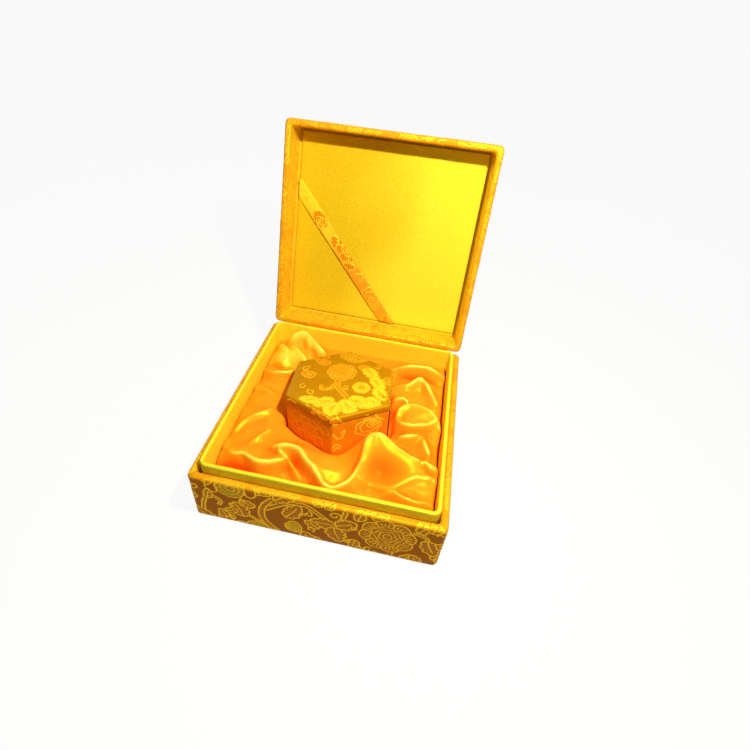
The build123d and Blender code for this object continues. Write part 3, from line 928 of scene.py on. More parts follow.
# %% Repeats
class Figure:
    """One repeat of a figure as a mesh, and its copies."""

    # How far a shape may reach beyond its repeat
    WIDE, HIGH = 14, 8

    def __init__(self, name, drawing, width, row, shift, fills=True):
        self.width, self.row, self.shift = width, row, shift
        shapes, lines = drawing
        near = [self.mover(across, up) for up in (0, -1, 1, 2, -2) for across in (0, -1, 1, 2)]
        bm = threads_of(shapes, lines, near, fills)
        self.mesh = bpy.data.meshes.new(name)
        bm.to_mesh(self.mesh)
        print(name, "faces in one repeat:", len(bm.faces))
        bm.free()

    def mover(self, across, up):
        """How a point of the first repeat goes to another one."""
        if up % 2:
            return lambda point: (self.shift - point[0] + across * self.width,
                                  point[1] + up * self.row)
        return lambda point: (point[0] + across * self.width, point[1] + up * self.row)

    def copies(self, left, right, bottom, top, shift):
        """A bmesh with the repeats that reach a flat piece of cloth. The two ranges cover more than
        any of the pieces, and repeats that miss the cloth are skipped."""
        bm = bmesh.new()
        for up in range(-4, 8):
            for across in range(-5, 9):
                start = Vector((across * self.width, up * self.row, 0)) + Vector((*shift, 0))
                turned = Matrix.Identity(4)
                low, high = start.x - self.WIDE, start.x + self.width + self.WIDE
                if up % 2:
                    turned = Matrix.Diagonal((-1, 1, 1, 1))
                    start.x += self.shift
                    low, high = start.x - self.width - self.WIDE, start.x + self.WIDE
                if high < left or low > right:
                    continue
                if start.y > top + self.HIGH or start.y + self.row < bottom - self.HIGH:
                    continue
                copy = self.mesh.copy()
                copy.transform(Matrix.Translation(start) @ turned)
                if up % 2:
                    copy.flip_normals()
                bm.from_mesh(copy)
                bpy.data.meshes.remove(copy)
        return bm


large = Figure("large_figure", large_figure(), REPEAT, ROW, ROW_SHIFT)

# %% [markdown]
# The small box's cloth has a smaller figure, in outlines alone on its sides: a flower like a rolled
# rose, curls, and leaves. The top of its lid has a drawing that doesn't repeat, so its repeat is
# far wider than the lid.


# %% One repeat of the small figure
SMALL_REPEAT = 2 * small_tray.side_length
SMALL_ROW = 31.0
SMALL_SHIFT = 46.0
ONCE = 300


def small_figure_lines():
    """A rolled flower and a few curls on one side, and a wider flower and leaves on the next."""
    shapes = []
    for radius, petals, phase, x, y in ((6.7, 7, 0.6, 19.4, 23.4), (4.7, 6, 1.4, 20.0, 23.8),
                                        (2.5, 4, 0.2, 21.2, 24.6), (1.0, 4, 0.2, 21.6, 24.9)):
        rose = rosette(0, 0, radius, petals, 0.20, phase=phase)
        shapes.append(([(x + 1.12 * across, y + 0.84 * up) for across, up in rose], PLAIN))
    shapes += [(vine([(33, 2), (38, 7), (42, 12)], 1.8, 1.2), PLAIN)]
    for spec in ((55, 5, 1.9, 9, 6, 3), (34, 22, 0.6, 8, 5, 3), (58, 22, 2.4, 8, 5, 3),
                 (36, 12, 1.6, 8, 5, 3)):
        shapes.append((leaf(*spec), PLAIN))
    for petal in range(7):
        angle = TURN * petal / 7 + 0.3
        shapes.append((leaf(46 + 2.6 * math.cos(angle), 18 + 2.6 * math.sin(angle), angle, 6.2,
                            6.4, 3, 0.0, 0.22, 1.7), PLAIN))
    shapes += [(rosette(46, 18, 5.2, 6, 0.2, 12, 0.08), PLAIN),
               (rosette(46, 18, 3.2, 5, 0.2), PLAIN), (rosette(46, 18, 1.5, 5, 0.2), PLAIN)]
    lines = [smoothed(spots) for spots in (
        [(28.6, 31.4), (23.4, 30.4), (24.2, 28.7), (27.9, 25.5)],
        [(0.4, 24.4), (2.6, 20.9), (4.6, 20.4), (6.2, 22.4), (7.0, 24.5), (6.0, 24.9), (4.9, 23)],
        [(0.2, 15.3), (2.6, 17.0), (4.9, 14.9)], [(0.6, 13.0), (2.4, 14.6), (4.4, 13.4)],
        [(7.7, 7.1), (10, 9.2), (12.1, 7.2)], [(-0.6, 31.4), (1.5, 30.0), (4, 31.2), (6.1, 30.4)],
        [(6, 1.5), (9, 4.5), (13, 5)], [(22, 8), (25, 10.5), (29, 10)])]
    lines += [curl(52, 28, 2.6, 0.4, 1.1), curl(38, 29, 2.2, 3.0, 1.0), curl(26, 15, 2.2, 1, 1.0)]
    return shapes, lines


def small_lid_drawing():
    """The top of the small lid: a shell at the back, a flower, its stem, and broad leaves."""
    shapes, strokes = peony(-1.1, 7.6, 8.0)
    shapes = [(vine([(-2, 0), (-1.4, -6), (2, -10.5), (5.8, -16), (5, -22)], 2.6, 1.8), PLAIN),
              (vine([(-2, -3), (-5, -8), (-9, -9), (-10, -6)], 1.8, 1.2), PLAIN)] + shapes
    # Leaves at the front and right, and the larger rings of the rosette there, take the BRIGHT fill:
    # a painted highlight where the lamp catches the padded lid's front edge
    for x, y, angle, length, width, lobes, cloth in (
            (8, 15, -0.5, 9, 6, 3, PLAIN), (-9, 14, 2.6, 9, 6, 3, PLAIN),
            (11, 14, -0.95, 12, 8, 4, BRIGHT), (16, 6, -1.05, 12, 8, 4, BRIGHT),
            (19, -3, -1.2, 11, 8, 4, BRIGHT), (23, 7, -1.0, 9, 5, 3, PLAIN),
            (6, -14, -0.4, 13, 9, 4, BRIGHT), (3, -16, -1.0, 12, 10, 4, BRIGHT),
            (-1, -17, 3.5, 11, 8, 4, BRIGHT), (1, -19, -2.1, 11, 9, 4, BRIGHT),
            (15, -12, -0.8, 10, 7, 4, BRIGHT), (-9, -19, 2.9, 10, 6, 3, BRIGHT),
            (-15, 1, 2.6, 8, 6, 3, PLAIN), (-17, 19, 2.2, 8, 5, 3, PLAIN)):
        shapes.append((leaf(x, y, angle, length, width, lobes, 0.2), cloth))
        for lean in (-0.25, 0.0, 0.25):
            strokes.append(vein(x + 0.2 * length * math.cos(angle), y + 0.2 * length *
                                math.sin(angle), angle + lean, 0.62 * length, 0.3))
    for radius, petals in ((9.0, 12), (7.2, 11), (5.4, 9), (3.6, 7), (1.8, 5)):
        shapes.append((rosette(4.2, 27.6, radius, petals, 0.05), OLD_GOLD))
    for size in (4.6, 3.3, 2.0, 0.9):
        shapes.append((rosette(11, -4.6, size, 6, 0.10), BRIGHT if size > 2 else OLD_GOLD))
    lines = strokes + [curl(3.4, -6.4, 1.9, 1.0, 1.0), curl(-14, -12, 2.4, 2.0, 1.1),
                       curl(-21, 8, 2.6, 0.5, 1.1), curl(-12, 22, 2.2, 3.5, 1.0),
                       curl(18, 17, 2.2, 3.5, 1.0), curl(-19, -8, 2.2, 1.5, 1.0)]
    return shapes, lines


small = Figure("small_figure", small_figure_lines(), SMALL_REPEAT, SMALL_ROW, SMALL_SHIFT,
               fills=False)
small_filled = Figure("small_figure_filled", small_figure_lines(), SMALL_REPEAT, SMALL_ROW,
                      SMALL_SHIFT)
lid_drawing = Figure("small_lid_drawing", small_lid_drawing(), ONCE, ONCE, 0)


# %% [markdown]
# A piece's figure is copied over its flat band, trimmed to the cloth's edges, cut where the cloth
# bends and folded by the same function as the cloth. So it always lies on the cloth, round each
# corner and over each rim.


# %% Lay the figure on a cloth
def trim(bm, where, normal):
    """Cuts along a line of the flat cloth, and clears what lies beyond it."""
    bmesh.ops.bisect_plane(bm, geom=bm.faces[:] + bm.edges[:] + bm.verts[:], dist=CUT,
                           plane_co=where, plane_no=normal, clear_outer=True)


def flat_figure(figure, left, right, bottom, top, shift=(0, 0)):
    """Copies of the repeat over a flat cloth, trimmed to its four edges."""
    bm = figure.copies(left, right, bottom, top, shift)
    trim(bm, (left, 0, 0), (-1, 0, 0))
    trim(bm, (right, 0, 0), (1, 0, 0))
    trim(bm, (0, bottom, 0), (0, -1, 0))
    trim(bm, (0, top, 0), (0, 1, 0))
    return bm


def fold_figure(bm, place):
    """Keeps the flat place as a UV map, then folds the figure."""
    uv = bm.loops.layers.uv.new("flat_cloth")
    for face in bm.faces:
        for loop in face.loops:
            loop[uv].uv = loop.vert.co.xy
    for vert in bm.verts:
        vert.co = place(vert.co.x, vert.co.y, vert.co.z)


def cut_fills(bm, columns, rows):
    """Cuts the wide flat fills where the cloth bends. The fine threads bend without cuts."""
    for lines, axis in ((columns, 0), (rows, 1)):
        for line in lines:
            crossing = [face for face in bm.faces if face.material_index != OUTLINE - 1
                        and min(v.co[axis] for v in face.verts) < line - 0.01
                        and max(v.co[axis] for v in face.verts) > line + 0.01]
            if crossing:
                geom = {*crossing, *(e for f in crossing for e in f.edges),
                        *(v for f in crossing for v in f.verts)}
                where = [0, 0, 0]
                facing = [0, 0, 0]
                where[axis], facing[axis] = line, 1
                bmesh.ops.bisect_plane(bm, geom=list(geom), dist=CUT, plane_co=where,
                                       plane_no=facing)


# In the order that PLAIN, OUTLINE, OLD_GOLD, BRIGHT and OVER_RIM count
FIGURE_CLOTHS = [fill_weave, outline_weave, old_gold_weave, painted_lit_fill_weave, painted_lit_rim_fill_weave]


def wrap_figure(name, tray, body, bottom, top, shift=(0, 0), figure=large, faint=None,
                cloths=FIGURE_CLOTHS, bright_rim=False):
    """The figure on a tray's band between two heights. On sides where faint is true the outlines
    are of the same thread as the fills and hardly show. Where a lid presses on the rim, the
    threads lie flatter. Where bright_rim is true, the fills over the rim and inside the wall
    are painted lighter and yellower, a painted lit colour."""
    bm = flat_figure(figure, 0.01, tray.round_length - 0.01, bottom, top, shift)
    for face in bm.faces if faint else []:
        if faint(face.calc_center_median().x):
            face.material_index = PLAIN - 1
    cut_fills(bm, tray.corner_lines(), [down for down in tray.downs if bottom < down < top])
    # Fills over the rim and inside the wall: painted lit colour
    for face in bm.faces if bright_rim else []:
        up = face.calc_center_median().y
        if up > tray.rim_start and face.material_index != OUTLINE - 1:
            face.material_index = (BRIGHT if up > tray.rim_end else OVER_RIM) - 1
    pressed = [down for row, down in zip(tray.rows, tray.downs)
               if row[1] > tray.rim_height - 0.4]
    for vert in bm.verts:
        if min(pressed) - 0.3 < vert.co.y < max(pressed) + 0.3:
            vert.co.z *= RIM_PRESS
    fold_figure(bm, tray.place)
    return finish_piece(bm, name, body, cloths)


# %% [markdown]
# The base is wrapped first. Its cloth is a ring, 0.5 mm thick, with its thickness added inwards so
# that the outside keeps the model's size. On the real box the figure is woven into the cloth. The
# figure runs from 13 mm in under the floor to 6 mm short of the cloth's inner edge.

# %% Base cover
BROCADE_THICK = 0.5
base_cloth = finish_piece(wrapped_cloth(base_tray), "base_cover", "base",
                          [ground_weave, painted_lit_rim_weave, painted_lit_inside_weave], ["base_brocade"],
                          BROCADE_THICK)
base_figure = wrap_figure("base_cover_figure", base_tray, "base", -13.0, base_tray.downs[-1] - 6,
                          bright_rim=True)


# %% [markdown]
# The lid's cloth runs on over its top. The ring is closed there with one flat face, and the figure
# lies on it as on a table.


# %% Lid cover
LID_TOP_REACH = 59.2


def close_ring(bm, height_test, centre, rings=0):
    """Closes the open end of a ring with cloth: a few smaller rings, then one flat face."""
    rim_edges = [edge for edge in bm.edges if edge.is_boundary
                 and all(height_test(vert.co) for vert in edge.verts)]
    made = []
    for ring in range(rings):
        grown = bmesh.ops.extrude_edge_only(bm, edges=rim_edges)["geom"]
        rim_edges = [item for item in grown if isinstance(item, bmesh.types.BMEdge)
                     and item.is_boundary and all(v in grown for v in item.verts)]
        made += [item for item in grown if isinstance(item, bmesh.types.BMFace)]
        shrink = (rings - ring - 0.5) / (rings - ring + 0.5)
        for vert in {v for edge in rim_edges for v in edge.verts}:
            vert.co = centre + (vert.co - centre) * shrink
    made += bmesh.ops.contextual_create(bm, geom=rim_edges)["faces"]
    return made


bm = wrapped_cloth(lid_tray)
to_lid = lid_top_frame.inverted()
uv = bm.loops.layers.uv["flat_cloth"]
for face in close_ring(bm, lambda co: (to_lid @ co).z < 0.3, lid_top_frame.translation):
    for loop in face.loops:
        loop[uv].uv = (to_lid @ loop.vert.co).xy
bmesh.ops.recalc_face_normals(bm, faces=bm.faces)
lid_cloth = finish_piece(bm, "lid_cover", "lid",
                         [ground_weave, painted_lit_rim_weave, painted_lit_inside_weave], ["lid_brocade"],
                         BROCADE_THICK)
lid_figure = wrap_figure("lid_cover_figure", lid_tray, "lid", 0.0, lid_tray.downs[-1] - 1.8,
                         (30, 0), bright_rim=True)

bm = flat_figure(large, -LID_TOP_REACH, LID_TOP_REACH, -LID_TOP_REACH, LID_TOP_REACH, (10, 4))
fold_figure(bm, lambda x, y, lift: lid_top_frame @ Vector((x, y, -lift - 0.01)))
bmesh.ops.reverse_faces(bm, faces=bm.faces)
lid_top_figure = finish_piece(bm, "lid_top_figure", "lid", FIGURE_CLOTHS)

# %% [markdown]
# The cloth hinge is a strip of the same brocade, glued down the back of both trays. Each half is a
# thin sheet up to the line where it bends, so the two part there when the lid turns and neither
# has to stretch. Its cut edges are pressed into the cover below.


# %% Cloth hinge
LEAF_HEIGHT = 12.0
LEAF_HALF_WIDTH = 52


def hinge_leaf(name, node, body, frame_here, low, high):
    """Half of the hinge, on the back of one tray, between two heights in that tray's frame."""
    def place(x, z, lift=0.0):
        """A flat place on the tray's back. The edge on the bend line isn't pressed down."""
        edge = min(LEAF_HALF_WIDTH - abs(x), z - low if low > 0 else high - z)
        press = 0.25 * math.exp(-max(edge, 0) / 0.5)
        return frame_here @ Vector((x, hinge_y - press + lift, z))

    columns = spread([-51.5, -51, 51, 51.5], -LEAF_HALF_WIDTH, LEAF_HALF_WIDTH, 4)
    bm = laid_cloth(columns, spread([], low, high, 0.6), place)
    bmesh.ops.reverse_faces(bm, faces=bm.faces)
    cloth = finish_piece(bm, name, body, [ground_weave], [node], 0.35)
    bm = flat_figure(large, -51.4, 51.4, low + 0.3, high - 0.3, (-40, 12))
    fold_figure(bm, place)
    bmesh.ops.reverse_faces(bm, faces=bm.faces)
    figure = finish_piece(bm, name + "_figure", body, FIGURE_CLOTHS)


hinge_leaf("hinge_cloth_base", "base_hinge_cloth", "base", Matrix.Identity(4),
           base_height - LEAF_HEIGHT, base_height)
hinge_leaf("hinge_cloth_lid", "lid_hinge_cloth", "lid", lid_frame, 0.0, LEAF_HEIGHT)

# %% [markdown]
# The lip is one bent card with yellow cloth over it. The cloth rolls over the card's edge, and is
# not quite even, so its top line wanders a little.

# %% Lip cloth
LIP_REACH = 55.9
LIP_TOP = 36.4
LIP_THICK = 2.0
LIP_FOOT = 3.5
lip_section = [(0, LIP_FOOT)] + rim_over(LIP_TOP, LIP_THICK, 0.8, 4) + [(LIP_THICK, LIP_FOOT)]
lip_tray = Tray(4, LIP_REACH, 4.0, 2.0, LIP_THICK, lip_section, Matrix.Identity(4), -90,
                ripple=0.12)


def lip_place(along, up, lift=0.0):
    """The lip's cloth, with its top line a little uneven."""
    spot = lip_tray.place(along, up, lift)
    near_top = max(0.0, 1 - abs(LIP_TOP - spot.z) / 12)
    spot.z += near_top * 0.28 * noise.noise(Vector((along / 17, 0.3, 0.7)))
    return spot


columns = spread(lip_tray.corner_lines(), 0, lip_tray.round_length, 2.5)
rows = spread(lip_tray.downs, lip_tray.downs[0], lip_tray.downs[-1], 3.0)
bm = laid_cloth(columns, rows, lip_place)
bmesh.ops.remove_doubles(bm, verts=bm.verts, dist=MERGE)
lip = finish_piece(bm, "lip_cover", "base", [lip_cloth], ["collar_cloth"], 0.3)

# %% [markdown]
# The lid's lining is a card covered with satin, set in with a narrow dark gap round it. A strip of
# brocade crosses its lower corner: it is tucked behind the card at both ends and stands a little
# off the lining between them, which leaves a thin shadow.

# %% Lining
CEILING = 17.7
LINING_REACH = 55


def lining_place(x, y):
    """The lining's face, rolled back at its edges and faintly uneven."""
    edge = LINING_REACH - max(abs(x), abs(y))
    roll = 1.1 * max(0.0, 1 - edge / 0.9) ** 2
    uneven = 0.10 * noise.noise(Vector((x / 30, y / 22, 2.5)))
    return lid_frame @ Vector((x, y, CEILING + roll + uneven))


places = spread([-54.8, -54.5, -54.1, 54.1, 54.5, 54.8], -LINING_REACH, LINING_REACH, 3.0)
bm = laid_cloth(places, places, lining_place)
bmesh.ops.reverse_faces(bm, faces=bm.faces)
lining = finish_piece(bm, "lid_lining", "lid", [lining_cloth],
                      ["lid_lining_satin"], 0.4)

# %% Band across the lining
BAND_HALF_WIDTH = 4
band_middle = Vector((-22, 15.9))
band_way = Vector((math.cos(math.radians(50)), math.sin(math.radians(50))))
band_side = Vector((-band_way.y, band_way.x))
band_ends = []
for direction in (-1, 1):
    steps = [step * 0.05 for step in range(2000)]
    spot = next(step for step in steps
                if max(abs(part) for part in band_middle + band_way * step * direction) > 54.2)
    band_ends.append(direction * spot)


def band_place(along, across, lift=0.0):
    """The strip across the corner of the lid, off the lining between its tucked ends."""
    centre = band_middle + band_way * along
    ways = (along - band_ends[0]) / (band_ends[1] - band_ends[0])
    reach = max(0.0, min(1.0, min(ways, 1 - ways) * 6))
    stand = 0.45 + 0.75 * reach - 0.35 * (across / BAND_HALF_WIDTH) ** 2
    flat = centre + band_side * across
    flat = Vector((min(max(flat.x, -54.6), 54.6), min(max(flat.y, -54.6), 54.6)))
    return lid_frame @ Vector((flat.x, flat.y, CEILING - stand - lift))


bm = laid_cloth(spread([], band_ends[0] - 4, band_ends[1] + 4, 1.5),
                spread([], -BAND_HALF_WIDTH, BAND_HALF_WIDTH, 0.8), band_place)
bmesh.ops.reverse_faces(bm, faces=bm.faces)
band = finish_piece(bm, "lid_band", "lid", [band_cloth], ["lid_ribbon"], 0.3)
bm = flat_figure(small_filled, band_ends[0], band_ends[1], -3.7, 3.7, (12, -24))
fold_figure(bm, band_place)
bmesh.ops.reverse_faces(bm, faces=bm.faces)
band_figure = finish_piece(bm, "lid_band_figure", "lid", FIGURE_CLOTHS)

# %% [markdown]
# The satin is one square of cloth, gathered by hand into the space inside the lip. Its folds run
# from crest to crest like small mountain ridges, steep on the side that laps over the next fold.
# So each fold is given by the line of its crest, and the cloth's height at a place is that of the
# highest fold there. Cloth simulation would settle into other folds than these, which have their
# places in the model too, so the heights are worked out and the cloth is moved to them. Each
# point of a crest has its place, its height over the foam, and how far the fold reaches to its
# left and right.

# %% Crest lines of the satin
WELL = 53.9
FOAM_TOP = 17.0
VALLEY = 4.7
BLEND = 5
RIDGES = [
    [(-53.6, -35.2, 9, 14, 3), (-44.8, -42.3, 13.5, 14, 2.4), (-39.2, -42.5, 15, 14, 2.2),
     (-32.2, -44.7, 15.5, 12, 2.2), (-26.2, -43.7, 15.5, 9, 2.2), (-20.6, -39.5, 14.5, 7, 2.4)],
    [(-28.5, -35, 13, 3, 2.2), (-24.6, -35.5, 17.5, 4, 2.2), (-19.6, -34.8, 18, 7, 2.2),
     (-14.8, -35.8, 18, 9, 2.2), (-10, -39.2, 17.5, 10, 2.2), (-5.2, -43.2, 17, 10, 2.2),
     (-1.5, -47, 16, 8, 2.2), (1.3, -49.3, 15, 6, 2.4)],
    [(1.3, -49.3, 15, 5, 3), (6.3, -49.7, 15.2, 4, 3), (11.3, -47.1, 16.2, 3.4, 5),
     (14.4, -40.9, 17.2, 3.2, 8), (16, -31.9, 18.2, 3, 12), (17.1, -23.9, 19.2, 3, 13),
     (18.5, -20.7, 19.7, 2.8, 14), (21.4, -19.2, 20, 2.8, 14)],
    [(21.4, -19.2, 20, 2.8, 16), (25.2, -20, 19.8, 3, 18), (31, -23.9, 19.2, 3.2, 19),
     (37.8, -26.2, 18.4, 3.6, 19), (45.7, -27.2, 17.2, 4, 17), (51.7, -28.4, 15.5, 4, 13)],
    [(16.5, -41.9, 9, 7, 3), (23.6, -42.4, 11.5, 7, 3), (31.5, -43, 13, 6, 3),
     (37.4, -38.8, 14, 5, 4), (44, -35.4, 14, 4, 4), (52.8, -34.8, 12, 4, 4)],
    [(27.9, -46.9, 8, 3, 3), (31, -45.3, 13, 3, 3.2), (34, -44.9, 14, 3.4, 3.2),
     (38, -46.1, 13.6, 3.6, 3), (44, -47, 13, 4, 2.6), (50, -46.3, 12.5, 4.5, 2.6),
     (53.3, -46.1, 10, 4, 3)],
    [(28.5, 1.9, 12, 3, 5), (30, 6.6, 14.5, 2.6, 7), (34.9, 9.6, 15.5, 2.6, 9),
     (40.8, 9.7, 16, 2.6, 9), (45.8, 7.6, 15.5, 2.8, 9), (49.9, 3.6, 14.5, 2.8, 8),
     (52.6, -0.6, 12.5, 3, 6)],
    [(29, -0.1, 12, 4, 2.6), (32, -3.4, 13.4, 5, 2.4), (37, -4.1, 14, 6, 2.4),
     (43, -2, 13.6, 6, 2.6), (49.1, 1.5, 12.4, 4, 3)],
    [(24.9, 12.9, 11, 3, 2.6), (27.5, 13.5, 13.5, 3, 2.8), (30.5, 13.8, 14.4, 2.8, 3),
     (33.4, 12.2, 14, 2.8, 3)],
    [(33, -11.7, 12, 4, 3), (36, -11.3, 14, 4.5, 3), (41, -9, 13, 4.5, 3.4)],
    [(43.6, -7.3, 11, 3, 4), (45.4, -13.8, 14, 3, 4.5), (48.5, -19, 13, 3, 4)],
    [(25.9, 28.1, 9, 3, 5), (32, 28.5, 12.5, 2.8, 6), (37, 32.4, 14.5, 2.8, 6),
     (39.9, 32.9, 14.6, 3, 5), (44.5, 27.5, 13.5, 3.2, 5), (49.6, 18.5, 11.5, 3.4, 5)],
    [(21.8, 41.3, 9, 4, 2.4), (30, 43.1, 12.5, 5, 2.4), (38, 43.8, 13.2, 5, 2.4),
     (46.1, 43.1, 12, 5, 2.6), (53.5, 42.4, 9, 5, 3)],
    [(-46.3, 48.3, 11, 3, 4), (-43.8, 49.5, 16, 2.8, 4.5), (-40.1, 51, 18, 2.8, 5),
     (-36.1, 51.7, 18.3, 2.8, 5), (-31.4, 48.6, 17.6, 2.8, 5), (-26.9, 44.1, 16.4, 2.8, 5),
     (-22.4, 40.9, 13.5, 3, 4)],
    [(-42.1, 52.4, 10, 3, 3), (-37, 50.5, 13, 2.6, 3.4), (-33, 46.5, 13, 2.6, 3.4),
     (-30, 42.2, 11.5, 2.6, 3.4)],
    [(-53.6, 46.5, 9, 4, 4), (-49.4, 43.1, 12, 3.4, 4.4), (-45, 37.5, 13, 3.4, 4.4),
     (-41.9, 32.1, 12, 3.4, 4)],
    [(-42.8, 43.7, 11, 3, 4), (-37.3, 39, 13.5, 3, 4.4), (-32.8, 35.5, 13.5, 3, 4),
     (-31, 33.1, 11.5, 3, 4)],
    [(-53.6, 21.9, 8.5, 5, 3), (-46.4, 18, 12, 6, 2.8), (-40.2, 19, 12.5, 6, 2.6),
     (-35, 22.5, 11.5, 5, 2.6)],
    [(-53.6, 7.5, 8, 4, 4), (-46.6, 4.9, 11.5, 4, 4.4), (-41.8, 2.8, 11, 4, 4)],
    [(-50.6, -26.2, 11, 3, 5), (-47.6, -21.3, 13, 2.8, 5), (-42.4, -16.3, 13.8, 2.8, 5),
     (-36.5, -10.5, 12.5, 3, 5)],
    [(-40, -33.2, 11, 3, 4), (-36.9, -28.5, 12.6, 3, 4), (-33.6, -24, 12, 3, 4)],
    [(-24, -37, 15, 2, 1.8), (-18.1, -40, 13.5, 2, 1.8), (-12, -44.4, 12.5, 2, 1.8),
     (-7, -47.8, 11, 2, 2)],
]
print("folds:", len(RIDGES))

# %% [markdown]
# Between the ridges the cloth also puffs up in pillows, is cut by narrow creases, and is drawn
# together where a hand pinched it. A pillow has its place, its two half widths, its turn and its
# height, and a pinch its place, reach, height and number of wrinkles.

# %% Pillows, creases and pinches
PILLOWS = [
    (-40, -17, 14, 25, 8, 12.0), (2, -40, 14, 10, -20, 15.2), (40, 3, 11, 8, 0, 14.0),
    (-46, 34, 9, 9, 0, 11.0), (33, 20, 12, 8, 20, 9.0), (20, -45, 12, 7, 0, 9.5),
    (48, -38, 9, 9, 0, 11.0), (-44, 12, 9, 7, 0, 9.0),
]
CREASES = [
    [(-53, -46), (-45, -46.4), (-38, -47), (-30, -49), (-20, -49.6), (-10, -48.6)],
    [(-22, -39), (-16, -42), (-9, -46.5), (-3, -49.5), (1, -51)],
    [(-52.5, 24), (-50, 27), (-45, 26), (-40, 24)],
    [(25, 39), (33, 39.6), (42, 39.4), (49, 38)],
    [(-32, 44), (-28, 40), (-24, 37)],
    [(26.5, 9), (27, 3), (27.5, -4), (27, -9)],
    [(44, -26), (48, -31), (53, -32)],
]
PINCHES = [(-25, -36, 9, 0.35, 9), (21, -20, 12, 0.30, 8), (-8, -50, 9, 0.45, 11),
           (52, -29, 12, 0.40, 9), (-53, -46, 12, 0.35, 9), (52, 0, 9, 0.35, 9),
           (-22, 41, 9, 0.4, 9), (30, -1, 8, 0.25, 9), (-53, 22, 12, 0.3, 9)]
print("pillows:", len(PILLOWS), "creases:", len(CREASES), "pinches:", len(PINCHES))

# %% [markdown]
# The heights are worked out for all places at once, which numpy does fast. A power sum joins the
# folds: it follows the highest one, and is soft where two of them meet.


# %% Heights of folds and creases
def off_line(x, y, start, end):
    """Each place's share of the way along a line, and how far it is from it, with its side."""
    way_x, way_y = end[0] - start[0], end[1] - start[1]
    length = math.hypot(way_x, way_y) + 1e-9
    share = np.clip(((x - start[0]) * way_x + (y - start[1]) * way_y) / length**2, 0, 1)
    off_x, off_y = x - start[0] - way_x * share, y - start[1] - way_y * share
    off = np.hypot(off_x, off_y) + 1e-9
    return share, off, (way_x * off_y - way_y * off_x) / (length * off)


def ridge_heights(x, y):
    """Height above the foam of many places at once, in millimetres."""
    total = np.zeros_like(x)
    for across, up, wide, deep, turned, top in PILLOWS:
        c, s = math.cos(math.radians(turned)), math.sin(math.radians(turned))
        u = ((x - across) * c + (y - up) * s) / wide
        v = ((y - up) * c - (x - across) * s) / deep
        total += ((top - VALLEY) * np.exp(-0.8 * (u**2 + v**2) ** 1.5)) ** BLEND
    for ridge in RIDGES:
        rise = np.zeros_like(x)
        line = smoothed(ridge, 6)
        for start, end in zip(line, line[1:]):
            share, off, side = off_line(x, y, start, end)
            crest, left, right = (start[i] + (end[i] - start[i]) * share for i in (2, 3, 4))
            reach = (left + right) / 2 + side * (left - right) / 2
            rise = np.maximum(rise, (crest - VALLEY) / (1 + (off / reach) ** 2) ** 1.4)
        total += rise ** BLEND
    return VALLEY + total ** (1 / BLEND)


def off_crests(x, y):
    """How far each place is from the nearest crest, in millimetres."""
    nearest = np.full_like(x, 99.0)
    for ridge in RIDGES:
        line = smoothed(ridge, 6)
        for start, end in zip(line, line[1:]):
            nearest = np.minimum(nearest, off_line(x, y, start, end)[1])
    return nearest


def crease_depths(x, y):
    """How deep the narrow creases are at many places."""
    depth = np.zeros_like(x)
    for crease in CREASES:
        line = smoothed(crease, 5)
        for index, (start, end) in enumerate(zip(line, line[1:])):
            share, off, side = off_line(x, y, start, end)
            ways = (index + share) / (len(line) - 1)
            depth = np.maximum(depth, np.sin(math.pi * np.clip(ways, 0.02, 0.98)) ** 0.5
                               * np.exp(-(off / 1.1) ** 2))
    return depth


def blurred(heights, cells, times=1):
    """The mean height within a few cells, taken once or more."""
    kernel = np.ones(2 * cells + 1) / (2 * cells + 1)
    for _ in range(times):
        padded = np.pad(heights, cells, mode="edge")
        rows_done = np.apply_along_axis(lambda row: np.convolve(row, kernel, "valid"), 1, padded)
        heights = np.apply_along_axis(lambda col: np.convolve(col, kernel, "valid"), 0, rows_done)
    return heights


print("height in the middle of the first pillow, mm:",
      round(float(ridge_heights(np.array([-40.0]), np.array([-17.0]))[0]), 1))

# %% [markdown]
# The folds sway a little, as hand-laid cloth does. Taut wrinkles run over them. Crests stay sharp
# and the hollows between them are soft, so the heights are blurred more away from a crest. A cell
# of the grid is half a millimetre. In front of the small box, on the right, the cloth lies in a
# nearly flat plateau with a shallow dip before it.

# %% Heights of the gathered satin
CELLS = 216
SWAY = 1.1
SWAY_UP = 0.25
TAUT = 1.5
DIP = 2.4
CREASE_DEPTH = 2.6
TUCK = 3.2
span = np.linspace(-WELL + 0.1, WELL - 0.1, CELLS + 1)
grid_x, grid_y = np.meshgrid(span, span, indexing="ij")


def mound(x, y, wide, deep):
    """1 at a place, falling softly to 0 some millimetres away."""
    return np.exp(-((grid_x - x) / wide) ** 2 - ((grid_y - y) / deep) ** 2)


sway = np.array([[[noise.noise(Vector((x / 13 + apart, y / 13, 4.0))) for apart in (0, 31, 67)]
                  for y in span] for x in span])
swayed_x, swayed_y = grid_x + SWAY * sway[..., 0], grid_y + SWAY * sway[..., 1]
heights = ridge_heights(swayed_x, swayed_y)
for x, y, reach, size, count in PINCHES:
    far = np.hypot(grid_x - x, grid_y - y)
    turn_there = np.arctan2(grid_y - y, grid_x - x)
    heights += size * np.exp(-far / reach) * np.clip(far / 3, 0, 1) * np.cos(count * turn_there)
heights += SWAY_UP * sway[..., 2]
taut = np.array([[0.5 - abs(noise.noise(Vector((x / 15 + 2, y / 9, 1.5))))
                  + 0.4 * (0.5 - abs(noise.noise(Vector((x / 6, y / 8, 3.5))))) for y in span]
                 for x in span])
nearest_crest = off_crests(swayed_x, swayed_y)
softer = np.clip((nearest_crest - 1.5) / 5, 0, 1)
heights = blurred(heights, 1) * (1 - softer) + blurred(heights, 5, 2) * softer
plateau = np.clip(1.3 * mound(27, -33, 12, 8), 0, 1)
